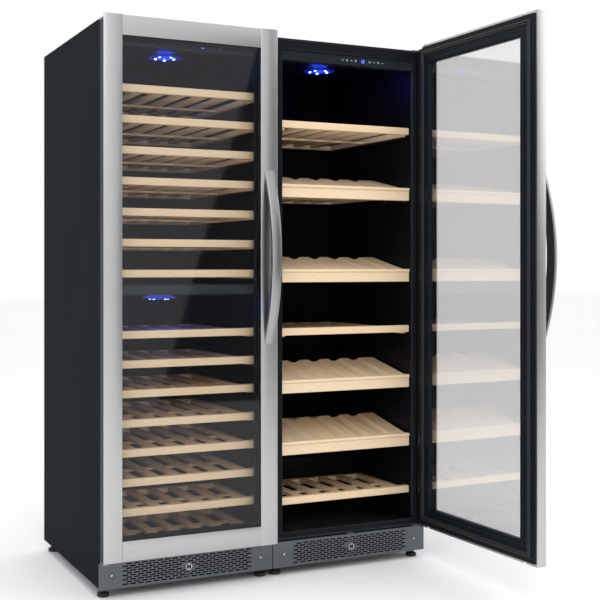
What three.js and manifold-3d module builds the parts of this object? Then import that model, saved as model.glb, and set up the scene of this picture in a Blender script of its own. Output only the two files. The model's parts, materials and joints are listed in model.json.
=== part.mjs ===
// Pair of tall glass-door wine coolers standing side by side. Millimetres, +Z up, front towards -Y.
// The left cooler has two zones and is shut; the right one is a display cooler with its door open.

import * as THREE from 'three';
import { mergeVertices } from 'three/addons/utils/BufferGeometryUtils.js';
import Module from 'manifold-3d';

// Cabinets
const cabinetWidth = 595;
const cabinetDepth = 640; // without the door
const cabinetTop = 1774; // above the floor
const cabinetBase = 36; // underside of the sheet-steel sides, above the floor
const cabinetGap = 0.6; // between the two cabinets
const sideWall = 36; // outer skin, foam and liner together
const ceilingWall = 37;
const rearWall = 44;
const linerWall = 3;
const sheet = 3; // outer skin where it stands alone round the base
const gap = 0.3; // between fixed pieces that touch
const slack = 1; // between pieces that slide in beside each other
const sillHeight = 25; // black frame below the interior

// Base, machine bay and kick plate
const tunnelCover = 0.2; // air tunnel above the lower hinge plate
const frameStep = 0.7; // lower edge of the black front frame above the air tunnel
const bayDepth = 240;
const bayTop = 280;
const bayWall = 30; // between the bay and the inside of the liner
const cornerBlock = 50; // steel corner that each foot screws into
const trayThickness = 3;
const kickBottom = 28;
const kickHeight = 84.5;
const kickThickness = 1.5;
const kickReturn = 12;
const lockRadius = 8.5;
const lockCollar = 10.5;
const lockLength = 24;

// Feet
const footRadius = 19;
const footHeight = 12;
const footStem = 6;
const footInset = 28; // from the side, the front and the rear
const frontFootInset = 37;

// Doors
const doorRise = 12; // top edge above the cabinet
const doorLift = 3; // bottom edge above the black front frame's
const doorMargin = 2.5; // side edges from the cabinet's sides
const doorThickness = 45; // face to cabinet front
const sealGap = 5; // room for the gasket
const innerDepth = 5; // black frame behind the steel one
const innerInset = 8; // of the black frame from the door's edge
const stile = 60;
const rail = 62;
const faceLip = 4; // steel in front of the glass unit
const glassSeat = 10; // glass unit behind the steel, all round
const innerLap = 8; // black frame over the glass unit, past the steel's edge
const hingeInset = 14; // axis from the cabinet side
const hingeBack = 17; // axis behind the door face
const openAngle = 91.3; // of the right door, as stored

// Hinge plates
const hingeStrip = 18;
const hingePlateWidth = 40;
const hingePlateReach = 50; // over the cabinet
const hingeThickness = 3;
const hingePin = 4;
const hingePinLength = 22;
const hingeClearance = 0.6;
const hingeSwing = 6; // room round the strip as the door turns

// Handles: a bowed flat bar on the closing stile
const handleLength = 560;
const handleMiddle = 1050; // above the floor
const handleWidth = 34;
const handleBow = 56; // how far its outside stands off the door
const handleBar = 11;

// Shelves and display racks
const shelfClearance = 10; // each side, for the runners
const shelfFront = 22; // behind the cabinet front
const shelfHeight = 24;
const boardThickness = 22;
const shelfDrop = 5; // how far the rails hang below the front board
const railHeight = 17;
const railWidth = 24;
const slatWidth = 34;
const slatThickness = 10;
const slatCount = 5;
const shelfRearGap = 46;
const stepClearance = 16; // of a short shelf from the step over the machine bay
const ledgeReach = 17;
const ledgeHeight = 8;
const ledgeFront = 48;
const dividerHeight = 32;
const dividerFront = 10;
const dividerRearGap = 36;
const lowerZone = 787; // clear height below the divider
const upperShelves = 7;
const lowerShelves = 8;
const upperHeadroom = 149;
const lowerHeadroom = 111;
const upperFirst = 24; // underside of the lowest upper shelf above the divider
const rackBoardHeight = 44;
const rackRailBottom = 14; // above the lower edge of the front board
const rackRailHeight = 12;
const rackRearHeight = 26;
const rackLip = 4;
const runnerHeight = 12; // telescopic runner between ledge and rack
const cradleDepth = 208;
const cradleFront = 16; // height at the front
const cradleRear = 61; // and at the rear
const cradleBoard = 14;
const cheek = 12;
const cheekInset = 10; // of the side cheeks from the ends of the sloping board
const bottleCount = 5;
const bottlePitch = 83;
const bottleRadius = 38;
const troughDepth = 8;

// Right cooler, bottom up: what stands at which share of the clear height
const rightLevels = [
  { name: 'right_shelf_bottom', kind: 'shelf', share: 0.053 },
  { name: 'display_rack_4', kind: 'rack', share: 0.156 },
  { name: 'display_rack_3', kind: 'rack', share: 0.285 },
  { name: 'right_shelf_middle', kind: 'shelf', share: 0.406 },
  { name: 'display_rack_2', kind: 'rack', share: 0.517 },
  { name: 'display_rack_1', kind: 'rack', share: 0.695 },
  { name: 'right_shelf_top', kind: 'shelf', share: 0.84 },
];

// Control panel and compressor
const panelHeight = 33;
const panelDepth = 50;
const panelFront = 6;
const compressorRadius = 74;
const compressorHeight = 176;
const compressorInset = 190.4; // middle from the right side

const kickTop = kickBottom + kickHeight;
const lowerHinge = kickTop + 2 * gap; // underside of the lower hinge plate
const baseCeiling = lowerHinge + hingeThickness + tunnelCover;
const frameBottom = baseCeiling + frameStep;
const interiorFloor = frameBottom + sillHeight;
const doorTop = cabinetTop + doorRise;
const doorBottom = frameBottom + doorLift;
const doorWidth = cabinetWidth - 2 * doorMargin;
const interiorTop = cabinetTop - ceilingWall;
const interiorBack = cabinetDepth - rearWall;
const interiorWidth = cabinetWidth - 2 * sideWall;
const stepTop = bayTop + bayWall;
const stepFront = cabinetDepth - bayDepth - bayWall;
const dividerBottom = interiorFloor + lowerZone;
const shelfWidth = interiorWidth - 2 * shelfClearance;
const frameDepth = doorThickness - sealGap - innerDepth - gap;
const doorEdge = hingeInset - doorMargin; // hinge-side edge of the door from the axis

const gridPerMm = 256;
const flushWithin = 0.005; // faces this close to one plane are one face
const wasm = await Module();
wasm.setup();

function material(color, roughness, metalness, opacity = 1) {
  return new THREE.MeshStandardMaterial({ color, roughness, metalness, opacity, transparent: opacity < 1 });
}

const finish = {
  casePaint: material(0x2f3235, 0.45, 0.3),
  linerPlastic: material(0x0f1012, 0.5, 0),
  framePlastic: material(0x15181b, 0.4, 0),
  stainless: material(0xb9babd, 0.3, 1),
  kickSteel: material(0x5b5f66, 0.4, 0.8),
  chrome: material(0xd6d7d9, 0.15, 1),
  zinc: material(0x8b8e92, 0.45, 0.9),
  glass: material(0x6f7678, 0.05, 0, 0.35),
  beech: material(0xe6c69a, 0.55, 0),
  panelGloss: material(0x0a0b0d, 0.12, 0),
  footPlastic: material(0x161616, 0.6, 0),
  compressorPaint: material(0x141414, 0.5, 0.4),
};

// ---- geometry helpers ----

// Corners are set on a fine grid, so that faces meant to be flush are exactly flush.
function toSolid(geometry) {
  const bare = geometry.clone();
  bare.deleteAttribute('normal');
  bare.deleteAttribute('uv');
  const corners = bare.attributes.position.array;
  corners.forEach((value, i) => {
    corners[i] = Math.round(value * gridPerMm) / gridPerMm;
  });
  const merged = mergeVertices(bare, 1e-4);
  return new wasm.Manifold(new wasm.Mesh({
    numProp: 3,
    vertProperties: merged.attributes.position.array,
    triVerts: Uint32Array.from(merged.index.array),
  }));
}

function toGeometry(solid) {
  const { vertProperties, triVerts, numProp } = solid.getMesh();
  const geometry = new THREE.BufferGeometry();
  const positions = new Float32Array((vertProperties.length / numProp) * 3);
  for (let i = 0; i < positions.length / 3; i += 1) {
    positions.set(vertProperties.subarray(i * numProp, i * numProp + 3), i * 3);
  }
  geometry.setAttribute('position', new THREE.BufferAttribute(positions, 3));
  geometry.setIndex(new THREE.BufferAttribute(triVerts, 1));
  geometry.computeVertexNormals();
  return geometry;
}

// A box between two corners, given in any order.
function block([x0, x1], [y0, y1], [z0, z1]) {
  const box = new THREE.BoxGeometry(Math.abs(x1 - x0), Math.abs(y1 - y0), Math.abs(z1 - z0));
  box.translate((x0 + x1) / 2, (y0 + y1) / 2, (z0 + z1) / 2);
  return toSolid(box);
}

// An upright round bar between two heights.
function post(x, y, radius, [z0, z1], sides = 16) {
  const bar = new THREE.CylinderGeometry(radius, radius, z1 - z0, sides);
  bar.rotateX(Math.PI / 2);
  bar.translate(x, y, (z0 + z1) / 2);
  return toSolid(bar);
}

// A round bar along Y.
function rod(x, z, radius, [y0, y1], sides = 20) {
  const bar = new THREE.CylinderGeometry(radius, radius, y1 - y0, sides);
  bar.translate(x, (y0 + y1) / 2, z);
  return toSolid(bar);
}

// An outline of [y, z] points carried along X.
function alongX(points, [x0, x1]) {
  const outline = new THREE.Shape(points.map(([y, z]) => new THREE.Vector2(y, z)));
  const bar = new THREE.ExtrudeGeometry(outline, { depth: x1 - x0, bevelEnabled: false });
  bar.applyMatrix4(new THREE.Matrix4().makeBasis(
    new THREE.Vector3(0, 1, 0), new THREE.Vector3(0, 0, 1), new THREE.Vector3(1, 0, 0)));
  bar.translate(x0, 0, 0);
  return toSolid(bar);
}

// A turned piece from [radius, height] points, closed on its axis.
function turned(points, sides = 24) {
  const profile = points.map(([r, z]) => new THREE.Vector2(r, z));
  const lathe = new THREE.LatheGeometry(profile, sides);
  lathe.rotateX(Math.PI / 2);
  return toSolid(lathe);
}

function join(...solids) {
  return solids.reduce((whole, piece) => whole.add(piece)).asOriginal().simplify(flushWithin);
}

function cut(body, ...tools) {
  return tools.reduce((left, tool) => left.subtract(tool), body).asOriginal().simplify(flushWithin);
}

function mesh(name, solid, look) {
  const part = new THREE.Mesh(toGeometry(solid), look);
  part.name = name;
  return part;
}

// ---- cabinet ----

// The room that the liner takes, grown by a margin all round, with the step over the machine bay.
function linerRoom(margin, front) {
  const room = block(
    [sideWall - margin, cabinetWidth - sideWall + margin],
    [front, interiorBack + margin],
    [interiorFloor - margin, interiorTop + margin]);
  const step = block(
    [0, cabinetWidth],
    [stepFront + margin, cabinetDepth],
    [0, stepTop - margin]);
  return cut(room, step);
}

function caseShell(hingeX) {
  const front = linerWall + gap;
  const skin = block([0, cabinetWidth], [front, cabinetDepth], [cabinetBase, cabinetTop]);
  const tunnel = block([sheet, cabinetWidth - sheet], [-1, cabinetDepth + 1], [0, baseCeiling]);
  const bay = block(
    [sideWall / 2, cabinetWidth - sideWall / 2],
    [cabinetDepth - bayDepth, cabinetDepth + 1],
    [cabinetBase, bayTop]);
  const hollow = cut(skin, linerRoom(linerWall + gap, -1), tunnel, bay);
  const corners = [];
  for (const x of [0, cabinetWidth - cornerBlock]) {
    for (const y of [front, cabinetDepth - cornerBlock]) {
      corners.push(block([x, x + cornerBlock], [y, y + cornerBlock], [cabinetBase, baseCeiling + 1]));
    }
  }
  const tray = block([0, cabinetWidth], [cabinetDepth - bayDepth, cabinetDepth],
    [cabinetBase, cabinetBase + trayThickness]);
  const hingeSeat = block(
    [hingeX - hingePlateWidth, hingeX + hingePlateWidth],
    [0, hingePlateReach + gap],
    [kickTop + gap, baseCeiling]);
  const reach = block([sheet, cabinetWidth - sheet], [0, cabinetDepth], [0, cabinetTop]);
  return cut(join(hollow, ...corners, tray), hingeSeat.intersect(reach));
}

function liner(ledges) {
  const flange = block([slack, cabinetWidth - slack], [0, linerWall], [frameBottom, cabinetTop - slack]);
  const tub = join(flange, linerRoom(linerWall, 0));
  const inside = linerRoom(0, -1);
  const shelves = ledges.flatMap(({ seat, depth }) => [sideWall, cabinetWidth - sideWall].map((wall, side) => {
    const inwards = side === 0 ? 1 : -1;
    return block(
      [wall - inwards, wall + inwards * ledgeReach],
      [ledgeFront, shelfFront + depth],
      [seat - gap - ledgeHeight, seat - gap]);
  }));
  return join(cut(tub, inside), ...shelves);
}

function kickPlate() {
  const face = -kickThickness - gap;
  const plate = block([slack, cabinetWidth - slack], [face, -gap], [kickBottom, kickTop]);
  const fold = block([slack, cabinetWidth - slack], [face, face + kickReturn],
    [kickBottom, kickBottom + kickThickness]);
  const middle = (kickBottom + kickTop) / 2;
  const hole = rod(cabinetWidth / 2, middle, lockRadius + gap, [face - 1, 1]);
  return cut(join(plate, fold), hole);
}

function lockBarrel() {
  const face = -kickThickness - 2 * gap;
  const collarFront = face - 3;
  const barrel = rod(0, 0, lockRadius, [collarFront, collarFront + lockLength]);
  const collar = rod(0, 0, lockCollar, [collarFront, face]);
  const keyway = block([-1, 1], [collarFront - 1, collarFront + 2], [4 - lockRadius, lockRadius - 4]);
  return cut(join(barrel, collar), keyway);
}

function controlPanel() {
  const top = interiorTop - gap;
  const chamfer = 14;
  return alongX([
    [panelFront, top],
    [panelFront, top - panelHeight],
    [panelFront + panelDepth - chamfer, top - panelHeight],
    [panelFront + panelDepth, top - panelHeight + chamfer],
    [panelFront + panelDepth, top],
  ], [sideWall + gap, cabinetWidth - sideWall - gap]);
}

function zoneDivider() {
  const nose = 5;
  const back = interiorBack - dividerRearGap;
  const top = dividerBottom + dividerHeight;
  return alongX([
    [dividerFront + nose, dividerBottom],
    [back, dividerBottom],
    [back, top],
    [dividerFront + nose, top],
    [dividerFront, top - nose],
    [dividerFront, dividerBottom + nose],
  ], [sideWall + gap, cabinetWidth - sideWall - gap]);
}

function compressor() {
  const shoulder = compressorHeight * 0.72;
  const dome = new THREE.EllipseCurve(0, shoulder, compressorRadius, compressorHeight - shoulder, 0, Math.PI / 2);
  const skirt = [[0, 0], [compressorRadius + 16, 0], [compressorRadius + 16, 5], [compressorRadius, 9],
    [compressorRadius, 60], [compressorRadius + 4, 64], [compressorRadius + 4, 72], [compressorRadius, 76]];
  const crown = dome.getPoints(4).slice(0, -1).map(({ x, y }) => [x, y]);
  return turned([...skirt, ...crown, [0, compressorHeight]], 20);
}

function foot() {
  const top = cabinetBase - gap;
  return turned([
    [0, 0], [footRadius - 2, 0], [footRadius, 2], [footRadius, footHeight - 3],
    [footRadius - 4, footHeight], [footStem, footHeight], [footStem, top], [0, top],
  ], 16);
}

// ---- shelves ----

// Pieces shared by shelves and racks: side rails, rear rail and slats that run front to back.
function slattedBase(depth, [low, high], rearTop) {
  const pieces = [
    block([0, railWidth], [boardThickness - 1, depth], [low, high]),
    block([shelfWidth - railWidth, shelfWidth], [boardThickness - 1, depth], [low, high]),
    block([0, shelfWidth], [depth - railWidth, depth], [low, rearTop]),
  ];
  const pitch = (shelfWidth - 2 * railWidth) / (slatCount + 1);
  for (let i = 1; i <= slatCount; i += 1) {
    const x = railWidth + i * pitch - slatWidth / 2;
    pieces.push(block([x, x + slatWidth], [boardThickness - 1, depth - 1], [high - slatThickness, high]));
  }
  const middle = (boardThickness + depth) / 2;
  pieces.push(block([1, shelfWidth - 1], [middle - railWidth / 2, middle + railWidth / 2],
    [low, high - slatThickness + 1]));
  return pieces;
}

function shelf(depth) {
  const board = block([0, shelfWidth], [0, boardThickness], [0, shelfHeight]);
  const top = railHeight - shelfDrop;
  return join(board, ...slattedBase(depth, [-shelfDrop, top], top));
}

function displayRack(depth) {
  const lipHeight = 9;
  const board = alongX([
    [0, 0], [boardThickness, 0], [boardThickness, rackBoardHeight], [-rackLip, rackBoardHeight],
    [-rackLip, rackBoardHeight - lipHeight], [0, rackBoardHeight - lipHeight - rackLip],
  ], [0, shelfWidth]);
  const rail = [rackRailBottom, rackRailBottom + rackRailHeight];
  return join(board, ...slattedBase(depth, rail, rackRailBottom + rackRearHeight));
}

// Sloping stand on a rack: a board with a trough for each bottle, a rear board and two side cheeks.
function displayCradle() {
  const floor = rackRailBottom + rackRailHeight + gap;
  const front = boardThickness + slack;
  const back = front + cradleDepth;
  const angle = Math.atan2(cradleRear - cradleFront, cradleDepth);
  const drop = cradleBoard / Math.cos(angle);
  const low = floor + cradleFront;
  const high = floor + cradleRear;
  const [left, right] = [slack, shelfWidth - slack];
  const deck = alongX([[front, low - drop], [back, high - drop], [back, high], [front, low]], [left, right]);
  const rearBoard = block([left, right], [back - cradleBoard, back], [floor, high - drop / 2]);
  const cheeks = [left + cheekInset, right - cheekInset - cheek].map((x) => alongX([
    [front, floor], [back - 1, floor], [back - 1, high - drop / 2], [front, low - drop / 2],
  ], [x, x + cheek]));
  const firstBottle = (shelfWidth - (bottleCount - 1) * bottlePitch) / 2;
  const troughs = Array.from({ length: bottleCount }, (_, i) => {
    const bottle = new THREE.CylinderGeometry(bottleRadius, bottleRadius, 2 * cradleDepth, 40);
    bottle.rotateX(angle);
    const rise = (bottleRadius - troughDepth) / Math.cos(angle);
    bottle.translate(firstBottle + i * bottlePitch, (front + back) / 2, (low + high) / 2 + rise);
    return toSolid(bottle);
  });
  return join(cut(deck, ...troughs), rearBoard, ...cheeks);
}

// ---- doors ----

// Everything on a door is drawn from its hinge axis. hand is 1 with the hinge on the right and -1 on the left.
function doorSpan(hand, fromHingeEdge, fromFreeEdge) {
  return [hand * (doorEdge - fromHingeEdge), hand * (doorEdge - doorWidth + fromFreeEdge)];
}

const faceY = -hingeBack;
const frameBackY = faceY + frameDepth;
const innerBackY = frameBackY + gap + innerDepth;

// Corner pocket for the upper hinge plate, open to the rear and to the hinge side.
function hingePocket(hand) {
  const reach = hingeStrip / 2 + hingeSwing;
  return block([-hand * reach, hand * (doorEdge + 1)], [-reach, innerBackY + 1], [cabinetTop - 1, doorTop + 1]);
}

// Bores for the two hinge pins.
function hingeBores() {
  return [
    post(0, 0, hingePin + hingeClearance, [cabinetTop - hingePinLength - 2, cabinetTop]),
    post(0, 0, hingePin + hingeClearance, [doorBottom - 1, doorBottom + hingePinLength]),
  ];
}

function doorFrame(hand) {
  const whole = block(doorSpan(hand, 0, 0), [faceY, frameBackY], [doorBottom, doorTop]);
  const opening = block(doorSpan(hand, stile, stile), [faceY - 1, frameBackY + 1],
    [doorBottom + rail, doorTop - rail]);
  const seat = block(doorSpan(hand, stile - glassSeat, stile - glassSeat), [faceY + faceLip, frameBackY + 1],
    [doorBottom + rail - glassSeat, doorTop - rail + glassSeat]);
  return cut(whole, opening, seat, ...hingeBores(), hingePocket(hand));
}

function doorInnerFrame(hand) {
  const band = stile + innerLap;
  const y = [frameBackY + gap, innerBackY];
  const whole = block(doorSpan(hand, innerInset, innerInset), y, [doorBottom + innerInset, doorTop - innerInset]);
  const opening = block(doorSpan(hand, band, band), [y[0] - 1, y[1] + 1],
    [doorBottom + rail + innerLap, doorTop - rail - innerLap]);
  return cut(whole, opening, ...hingeBores(), hingePocket(hand));
}

function doorGlass(hand) {
  const inset = stile - glassSeat + gap;
  return block(doorSpan(hand, inset, inset), [faceY + faceLip + gap, frameBackY - gap],
    [doorBottom + rail - glassSeat + gap, doorTop - rail + glassSeat - gap]);
}

// A shallow bow: its outside and inside are arcs that end in feet on the door face.
function doorHandle(hand) {
  const middle = hand * (doorEdge - doorWidth + stile / 2);
  const half = handleLength / 2;
  const steps = 20;
  const face = faceY - gap;
  const bow = (height, reach, rise) => {
    const radius = (reach * reach + rise * rise) / (2 * rise);
    return rise - radius + Math.sqrt(radius * radius - height * height);
  };
  const outside = [];
  const inside = [];
  for (let i = 0; i <= steps; i += 1) {
    const t = Math.cos(Math.PI * i / steps);
    const innerHalf = half - 26;
    outside.push([face - Math.max(bow(half * t, half, handleBow), 0), handleMiddle + half * t]);
    inside.push([face - Math.max(bow(innerHalf * t, innerHalf, handleBow - handleBar), 0),
      handleMiddle + innerHalf * t]);
  }
  return alongX([...outside, ...inside.reverse()], [middle - handleWidth / 2, middle + handleWidth / 2]);
}

// ---- hinge plates, fixed to the cabinet ----

function hingePlate(hand, axisX, axisY, z, pinSpan) {
  const level = [z, z + hingeThickness];
  const outward = axisX + hand * hingeStrip / 2;
  const tongue = join(
    post(axisX, axisY, hingeStrip / 2, level),
    block([axisX - hingeStrip / 2, axisX + hingeStrip / 2], [axisY, hingePlateReach / 2], level));
  const plate = block([outward, outward - hand * (hingePlateWidth - 2)],
    [linerWall + 2 * gap, hingePlateReach], level);
  return join(tongue, plate, post(axisX, axisY, hingePin, pinSpan));
}

// ---- assembly ----

const upperPitch = (interiorTop - dividerBottom - dividerHeight - upperHeadroom - upperFirst - shelfHeight)
  / (upperShelves - 1);
const lowerPitch = (lowerZone - lowerHeadroom - slack - shelfDrop - shelfHeight) / (lowerShelves - 1);

function depthAt(bottom) {
  const rear = bottom - shelfDrop < stepTop + slack ? stepFront - stepClearance : interiorBack - shelfRearGap;
  return rear - shelfFront;
}

const leftLevels = [];
for (let i = 0; i < lowerShelves; i += 1) {
  leftLevels.push(interiorFloor + slack + shelfDrop + i * lowerPitch);
}
for (let i = 0; i < upperShelves; i += 1) {
  leftLevels.push(dividerBottom + dividerHeight + upperFirst + i * upperPitch);
}
leftLevels.reverse();

// Where each ledge's top goes: under a shelf's rails, or under the runner of a rack.
function ledgeFor(bottom, kind) {
  const seat = kind === 'rack' ? bottom + rackRailBottom - runnerHeight : bottom - shelfDrop;
  return { seat, depth: depthAt(bottom) };
}

const rightBottoms = rightLevels.map(({ share }) => interiorFloor + share * (interiorTop - interiorFloor));

function cooler(side, hand, ledges) {
  const unit = new THREE.Group();
  const axisX = hand > 0 ? cabinetWidth - hingeInset : hingeInset;
  const axisY = -doorThickness + hingeBack;
  unit.add(
    mesh(`${side}_case`, caseShell(axisX), finish.casePaint),
    mesh(`${side}_liner`, liner(ledges.filter(({ seat }) => seat > interiorFloor + ledgeHeight + slack)),
      finish.linerPlastic),
    mesh(`${side}_kick_plate`, kickPlate(), finish.kickSteel),
    mesh(`${side}_control_panel`, controlPanel(), finish.panelGloss),
    mesh(`${side}_hinge_top`, hingePlate(hand, axisX, axisY, cabinetTop + gap,
      [cabinetTop - hingePinLength, cabinetTop + gap + 1]), finish.zinc),
    mesh(`${side}_hinge_bottom`, hingePlate(hand, axisX, axisY, lowerHinge,
      [lowerHinge + 1, doorBottom + hingePinLength - 2]), finish.zinc));

  const lock = mesh(`${side}_lock`, lockBarrel(), finish.chrome);
  lock.position.set(cabinetWidth / 2, 0, (kickBottom + kickTop) / 2);
  const pump = mesh(`${side}_compressor`, compressor(), finish.compressorPaint);
  pump.position.set(cabinetWidth - compressorInset, cabinetDepth - bayDepth / 2, cabinetBase + trayThickness + gap);
  unit.add(lock, pump);

  for (const [row, y] of [['front', frontFootInset], ['rear', cabinetDepth - footInset]]) {
    for (const [end, x] of [['left', footInset], ['right', cabinetWidth - footInset]]) {
      const leg = mesh(`${side}_foot_${row}_${end}`, foot(), finish.footPlastic);
      leg.position.set(x, y, 0);
      unit.add(leg);
    }
  }

  const door = new THREE.Group();
  door.position.set(axisX, axisY, 0);
  door.add(
    mesh(`${side}_door_frame`, doorFrame(hand), finish.stainless),
    mesh(`${side}_door_inner_frame`, doorInnerFrame(hand), finish.framePlastic),
    mesh(`${side}_door_glass`, doorGlass(hand), finish.glass),
    mesh(`${side}_door_handle`, doorHandle(hand), finish.stainless));
  unit.add(door);
  return { unit, door };
}

function place(unit, name, solid, bottom) {
  const piece = mesh(name, solid, finish.beech);
  piece.position.set(sideWall + shelfClearance, shelfFront, bottom);
  unit.add(piece);
}

const left = cooler('left', -1, leftLevels.map((bottom) => ledgeFor(bottom, 'shelf')));
left.unit.add(mesh('left_zone_divider', zoneDivider(), finish.linerPlastic));
leftLevels.forEach((bottom, i) => {
  place(left.unit, `left_shelf_${String(i + 1).padStart(2, '0')}`, shelf(depthAt(bottom)), bottom);
});

const right = cooler('right', 1, rightBottoms.map((bottom, i) => ledgeFor(bottom, rightLevels[i].kind)));
right.unit.position.x = cabinetWidth + cabinetGap;
right.door.rotation.z = THREE.MathUtils.degToRad(openAngle);
rightLevels.forEach(({ name, kind }, i) => {
  const bottom = rightBottoms[i];
  if (kind === 'shelf') {
    place(right.unit, name, shelf(depthAt(bottom)), bottom);
  } else {
    place(right.unit, name, displayRack(depthAt(bottom)), bottom);
    place(right.unit, name.replace('rack', 'cradle'), displayCradle(), bottom);
  }
});

// The origin is the middle of the floor area that the object covers as stored.
const coolers = new THREE.Group();
coolers.add(left.unit, right.unit);
const extent = new THREE.Box3().setFromObject(coolers, true);
coolers.position.set(-(extent.min.x + extent.max.x) / 2, -(extent.min.y + extent.max.y) / 2, -extent.min.z);

export default coolers;
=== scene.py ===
# Looks for a pair of glass-door wine coolers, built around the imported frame.
import json
import math
import random

import bmesh
import bpy
from mathutils import Matrix, Vector


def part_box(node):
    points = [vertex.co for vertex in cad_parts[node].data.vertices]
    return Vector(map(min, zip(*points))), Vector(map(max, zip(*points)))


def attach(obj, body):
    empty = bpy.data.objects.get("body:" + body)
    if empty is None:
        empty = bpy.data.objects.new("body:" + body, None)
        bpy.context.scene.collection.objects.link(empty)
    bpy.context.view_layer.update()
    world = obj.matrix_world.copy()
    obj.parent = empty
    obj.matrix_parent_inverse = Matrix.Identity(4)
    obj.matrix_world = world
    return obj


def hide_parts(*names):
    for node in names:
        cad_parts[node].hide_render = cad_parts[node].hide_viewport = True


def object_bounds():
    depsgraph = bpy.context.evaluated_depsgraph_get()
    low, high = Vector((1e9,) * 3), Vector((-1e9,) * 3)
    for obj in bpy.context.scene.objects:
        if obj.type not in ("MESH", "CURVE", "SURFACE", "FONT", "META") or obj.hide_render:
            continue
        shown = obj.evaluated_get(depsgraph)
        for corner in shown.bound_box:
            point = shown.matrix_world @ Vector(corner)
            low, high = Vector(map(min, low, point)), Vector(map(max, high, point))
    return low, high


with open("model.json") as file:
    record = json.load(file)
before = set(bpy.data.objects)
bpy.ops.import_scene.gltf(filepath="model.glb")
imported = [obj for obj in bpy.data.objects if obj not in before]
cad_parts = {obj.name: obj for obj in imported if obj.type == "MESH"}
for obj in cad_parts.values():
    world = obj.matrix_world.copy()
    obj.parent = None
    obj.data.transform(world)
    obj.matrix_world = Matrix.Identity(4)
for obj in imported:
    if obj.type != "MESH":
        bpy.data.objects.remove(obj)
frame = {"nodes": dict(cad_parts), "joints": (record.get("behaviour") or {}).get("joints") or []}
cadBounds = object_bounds()
joints = {joint["name"]: joint for joint in frame["joints"]}
sides = ("left", "right")
mm = 0.001
print("frame loaded:", len(frame["nodes"]), "nodes")


class Wire:
    # one socket of a material, with the arithmetic that the finishes below use
    def __init__(self, tree, socket):
        self.tree = tree
        self.socket = socket

    def calc(self, operation, *values):
        node = self.tree.nodes.new("ShaderNodeMath")
        node.operation = operation
        for slot, value in zip(node.inputs, values):
            if isinstance(value, Wire):
                self.tree.links.new(value.socket, slot)
            else:
                slot.default_value = value
        return Wire(self.tree, node.outputs[0])

    def __add__(self, other):
        return self.calc("ADD", self, other)

    __radd__ = __add__

    def __mul__(self, other):
        return self.calc("MULTIPLY", self, other)

    __rmul__ = __mul__

    def __gt__(self, other):
        return self.calc("GREATER_THAN", self, other)

    def __lt__(self, other):
        return self.calc("LESS_THAN", self, other)

    def __pow__(self, other):
        return self.calc("POWER", self, other)

    def __rpow__(self, other):
        return self.calc("POWER", other, self)


class Finish:
    # a material, its Principled shader and one method that adds any other node
    words = {
        "baseColor": "Base Color",
        "roughness": "Roughness",
        "metallic": "Metallic",
        "coatWeight": "Coat Weight",
        "coatRoughness": "Coat Roughness",
        "alpha": "Alpha",
        "emissionColor": "Emission Color",
        "emissionStrength": "Emission Strength",
        "normal": "Normal",
        "specular": "Specular IOR Level",
    }

    def __init__(self, name, **fixed):
        self.material = bpy.data.materials.new(name)
        self.material.use_nodes = True
        self.tree = self.material.node_tree
        self.shader = self.tree.nodes["Principled BSDF"]
        for label, value in fixed.items():
            self.set(label, value)

    def feed(self, slot, value):
        # a link, a colour or a plain value for one socket
        if isinstance(value, Wire):
            self.tree.links.new(value.socket, slot)
        else:
            slot.default_value = (*value, 1) if slot.type == "RGBA" else value

    def set(self, label, value):
        self.feed(self.shader.inputs[self.words[label]], value)

    def add(self, kind, settings=None, inputs=None, output=0):
        node = self.tree.nodes.new("ShaderNode" + kind)
        for key, value in (settings or {}).items():
            setattr(node, key, value)
        for key, value in (inputs or {}).items():
            self.feed(node.inputs[key], value)
        return Wire(self.tree, node.outputs[output])

    def place(self, scale=(1, 1, 1), coordinate="Object"):
        spot = self.add("TexCoord", output={"Object": 3, "UV": 2}[coordinate])
        return self.add("Mapping", inputs={"Vector": spot, "Scale": scale})

    def noise(self, vector, scale, detail=2.0, rough=0.5):
        return self.add("TexNoise", inputs={"Vector": vector, "Scale": scale, "Detail": detail,
                                            "Roughness": rough})

    def blend(self, factor, first, second):
        # inputs 6 and 7 are the colours of a Mix node, and its output 2 is the mixed colour
        return self.add("Mix", {"data_type": "RGBA"}, {0: factor, 6: first, 7: second}, output=2)

    def between(self, value, low, high):
        return self.add("MapRange", inputs={"Value": value, "To Min": low, "To Max": high})

    def bump(self, height, strength, distance):
        self.set("normal", self.add("Bump", inputs={"Height": height, "Strength": strength,
                                                    "Distance": distance}))


def powderCoat(name, dark, light, grain=900, roughness=(0.38, 0.5), specular=0.16):
    # textured paint: two close tones, orange peel, a little uneven gloss
    finish = Finish(name, specular=specular)
    where = finish.place()
    cloud = finish.noise(where, 2.2, 3)
    peel = finish.noise(where, grain, 2)
    finish.set("baseColor", finish.blend(cloud, dark, light))
    finish.set("roughness", finish.between(peel, *roughness))
    finish.bump(peel, 0.12, 0.0004)
    return finish.material


def mouldedPlastic(name, dark, light, grain=(260, 260, 60), roughness=(0.34, 0.48)):
    # moulded with a fine upright texture
    finish = Finish(name, specular=0.14)
    where = finish.place(grain)
    speck = finish.noise(where, 6, 4, 0.7)
    finish.set("baseColor", finish.blend(speck, dark, light))
    finish.set("roughness", finish.between(speck, *roughness))
    finish.bump(speck, 0.15, 0.0003)
    return finish.material


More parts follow.
